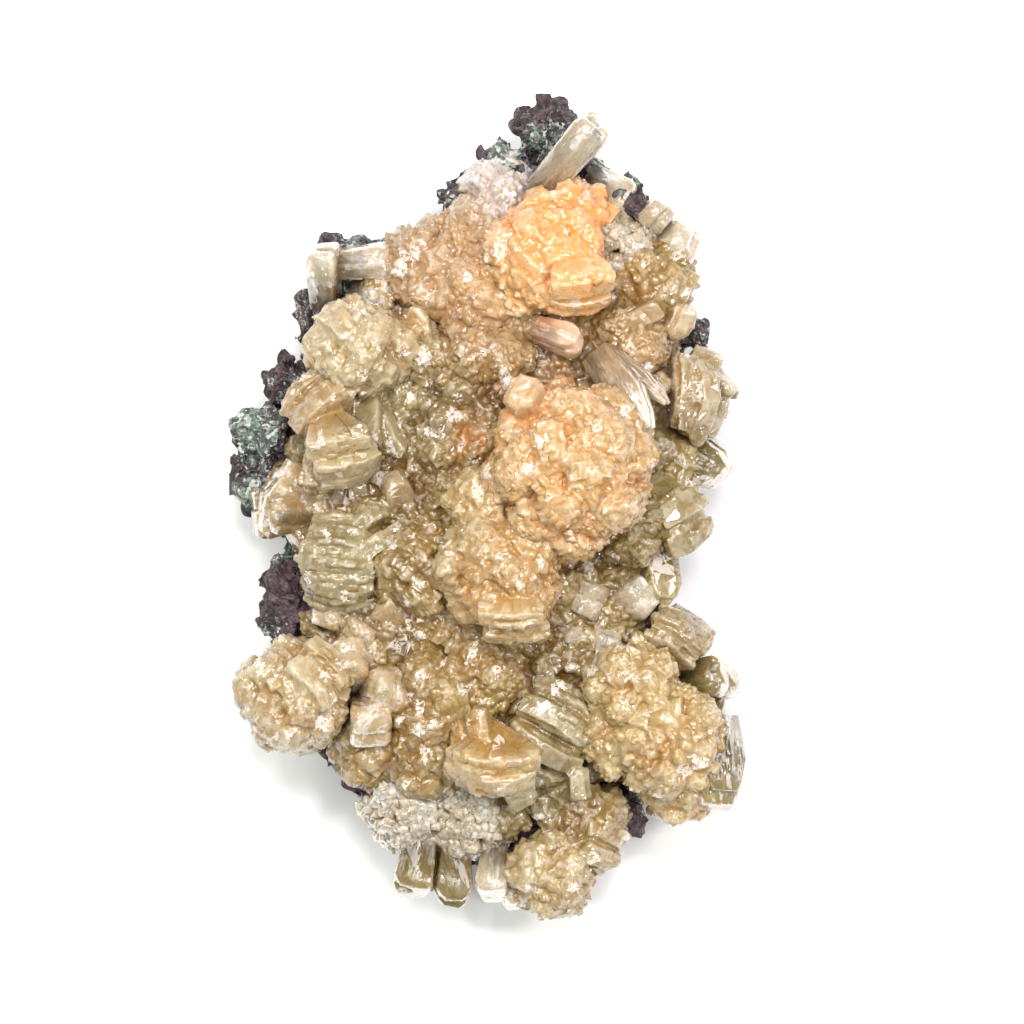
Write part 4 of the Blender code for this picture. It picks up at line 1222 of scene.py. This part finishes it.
def dress_rock():
    """The basalt with its lumps, pits and weathered skin."""
    solid = node_solid("basalt_matrix")
    rng = many("pits")
    lumps = Blades()
    spots, normals = surface_spots(*solid, LUMPS, rng)
    use = spots[:, 2] > LUMPS_FROM
    for spot, normal in zip(spots[use], normals[use]):
        size = rng.uniform(*LUMP_SIZES)
        turn = np.asarray(axes(normal + rng.normal(0, 0.5, 3), rng.normal(0, 1, 3)))
        lumps.add(
            spot - 0.6 * size * turn[:, 2], turn, 1.1 * size, 1.5 * size, 1.3 * size, (0.5, 0.4),
            (rng.uniform(-0.5, 0.5), rng.uniform(-0.5, 0.5)),
        )
    thing = merged("basalt_matrix_rock", [solid, lumps.triangles()], ROCK_CELL, 1.0)
    applied(thing, "SMOOTH", factor=0.5, iterations=2)

    points, faces = triangles_of(thing.data)
    normals = normals_of(points, faces)
    free = np.clip((points[:, 2] - FREE_FROM) / 1.2, 0, 1)
    shift = 0.75 * fractal(points, 4.2, 3) + 0.38 * fractal(points, 1.5, 11, 2) - 0.3
    able = np.flatnonzero((points[:, 2] > PITS_FROM) & (np.abs(normals[:, 2]) < 0.97))
    for index in rng.choice(able, PITS, replace=False):
        radius = rng.choice(PIT_RADII, p=PIT_SHARES) * rng.uniform(0.8, 1.2)
        near = ((points - points[index]) ** 2).sum(1) / radius**2
        inside = near < 1
        shift[inside] -= 0.75 * radius * np.sqrt(1 - near[inside])
    move_corners(thing.data, kept_in_box(points + normals * (shift * free)[:, None]))
    thing.data.update()
    applied(thing, "DECIMATE", ratio=ROCK_KEPT)

    points, _ = triangles_of(thing.data)
    height = points[:, 2]
    patchy = 0.9 * fractal(points, 5.0, 5)
    upper = np.clip((height - 3.0) / 8.0, 0, 1)
    weathered = 0.85 * near_of(points, WEATHERED) * np.maximum(0.75 + patchy, 0)
    chalky = 0.95 * near_of(points, CHALKY) * np.maximum(0.7 + patchy, 0) * upper
    put(
        thing,
        green=np.maximum(0.3 + 0.5 * fractal(points, 7.0, 21), weathered * (0.35 + 0.65 * upper)),
        chalk=np.maximum(0.32 * fractal(points, 9.0, 31), chalky),
        sawn=height < SAWN_TOP,
    )
    return thing


materials = {tint: crystal_material(tint, look) for tint, look in TINTS.items()}

rock = dress_rock()
rock.data.materials.append(rock_material())
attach(rock, "root")
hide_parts("basalt_matrix")

crust = dress_crust()
crust.data.materials.append(materials["crust"])
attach(crust, "root")
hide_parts("stellerite_crust")

for name, rows in AGGREGATES.items():
    tint = TINT_OF[name]
    thing = dress(name, rows)
    thing.data.materials.append(materials[tint])
    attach(thing, "root")
    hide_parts(name)

# Name, place, size and watts of each light, and its colour. The small ones make the glints
LIGHTS = [
    ("key", (-0.35, 0.35, 0.75), (0.4, 0.4), 3.4, (1.0, 0.985, 0.96)),
    ("fill", (0.6, -0.2, 0.5), (0.5, 0.5), 1.6, (0.96, 0.98, 1.0)),
    ("glint_lilac", (0.12, 0.22, 0.8), (0.12, 0.16), 2.6, (0.98, 0.9, 1.0)),
    ("glint_green", (-0.2, -0.1, 0.8), (0.10, 0.14), 1.8, (0.93, 1.0, 0.92)),
    ("glint_white", (-0.08, 0.3, 0.7), (0.10, 0.10), 1.6, (1.0, 1.0, 1.0)),
    ("glint_low", (0.3, 0.05, 0.6), (0.10, 0.16), 1.8, (1.0, 0.97, 0.95)),
]
# What the lights point at, and the camera's distance and sensor width, in metres and millimetres
LIT = (0, 0, 0.02)
DISTANCE = 1.2
SENSOR = 36.0


def put_in_scene(name, data, place=(0, 0, 0)):
    thing = bpy.data.objects.new(name, data)
    thing.location = place
    bpy.context.scene.collection.objects.link(thing)
    return thing


def stage():
    """A plain pale floor, soft studio light, and the camera straight above as in the photograph."""
    shape = bmesh.new()
    bmesh.ops.create_grid(shape, x_segments=1, y_segments=1, size=3.0)
    mesh = bpy.data.meshes.new("floor")
    shape.to_mesh(mesh)
    shape.free()
    graph = Graph("floor")
    graph.surface(Base_Color=(0.93, 0.93, 0.93, 1), Roughness=0.9)
    mesh.materials.append(graph.material)
    floor = put_in_scene("floor", mesh)

    world = bpy.data.worlds.new("studio")
    bpy.context.scene.world = world
    world.use_nodes = True
    background = world.node_tree.nodes["Background"]
    background.inputs["Color"].default_value = (1.0, 0.99, 0.97, 1)
    background.inputs["Strength"].default_value = 0.40

    for name, place, size, watts, colour in LIGHTS:
        lamp = bpy.data.lights.new(name, "AREA")
        lamp.shape = "RECTANGLE"
        lamp.size, lamp.size_y = size
        lamp.energy = watts
        lamp.color = colour
        aim = Vector(LIT) - Vector(place)
        put_in_scene(name, lamp, place).rotation_euler = aim.to_track_quat("-Z", "Y").to_euler()

    camera = bpy.data.cameras.new("camera")
    camera.sensor_width = SENSOR
    camera.lens = SENSOR * DISTANCE / VIEW_WIDTH
    camera.clip_start = 0.01
    place = (*VIEW_CENTRE, VIEW_LEVEL + DISTANCE)
    bpy.context.scene.camera = put_in_scene("camera", camera, place)
    bpy.context.scene.view_settings.view_transform = "Standard"


stage()
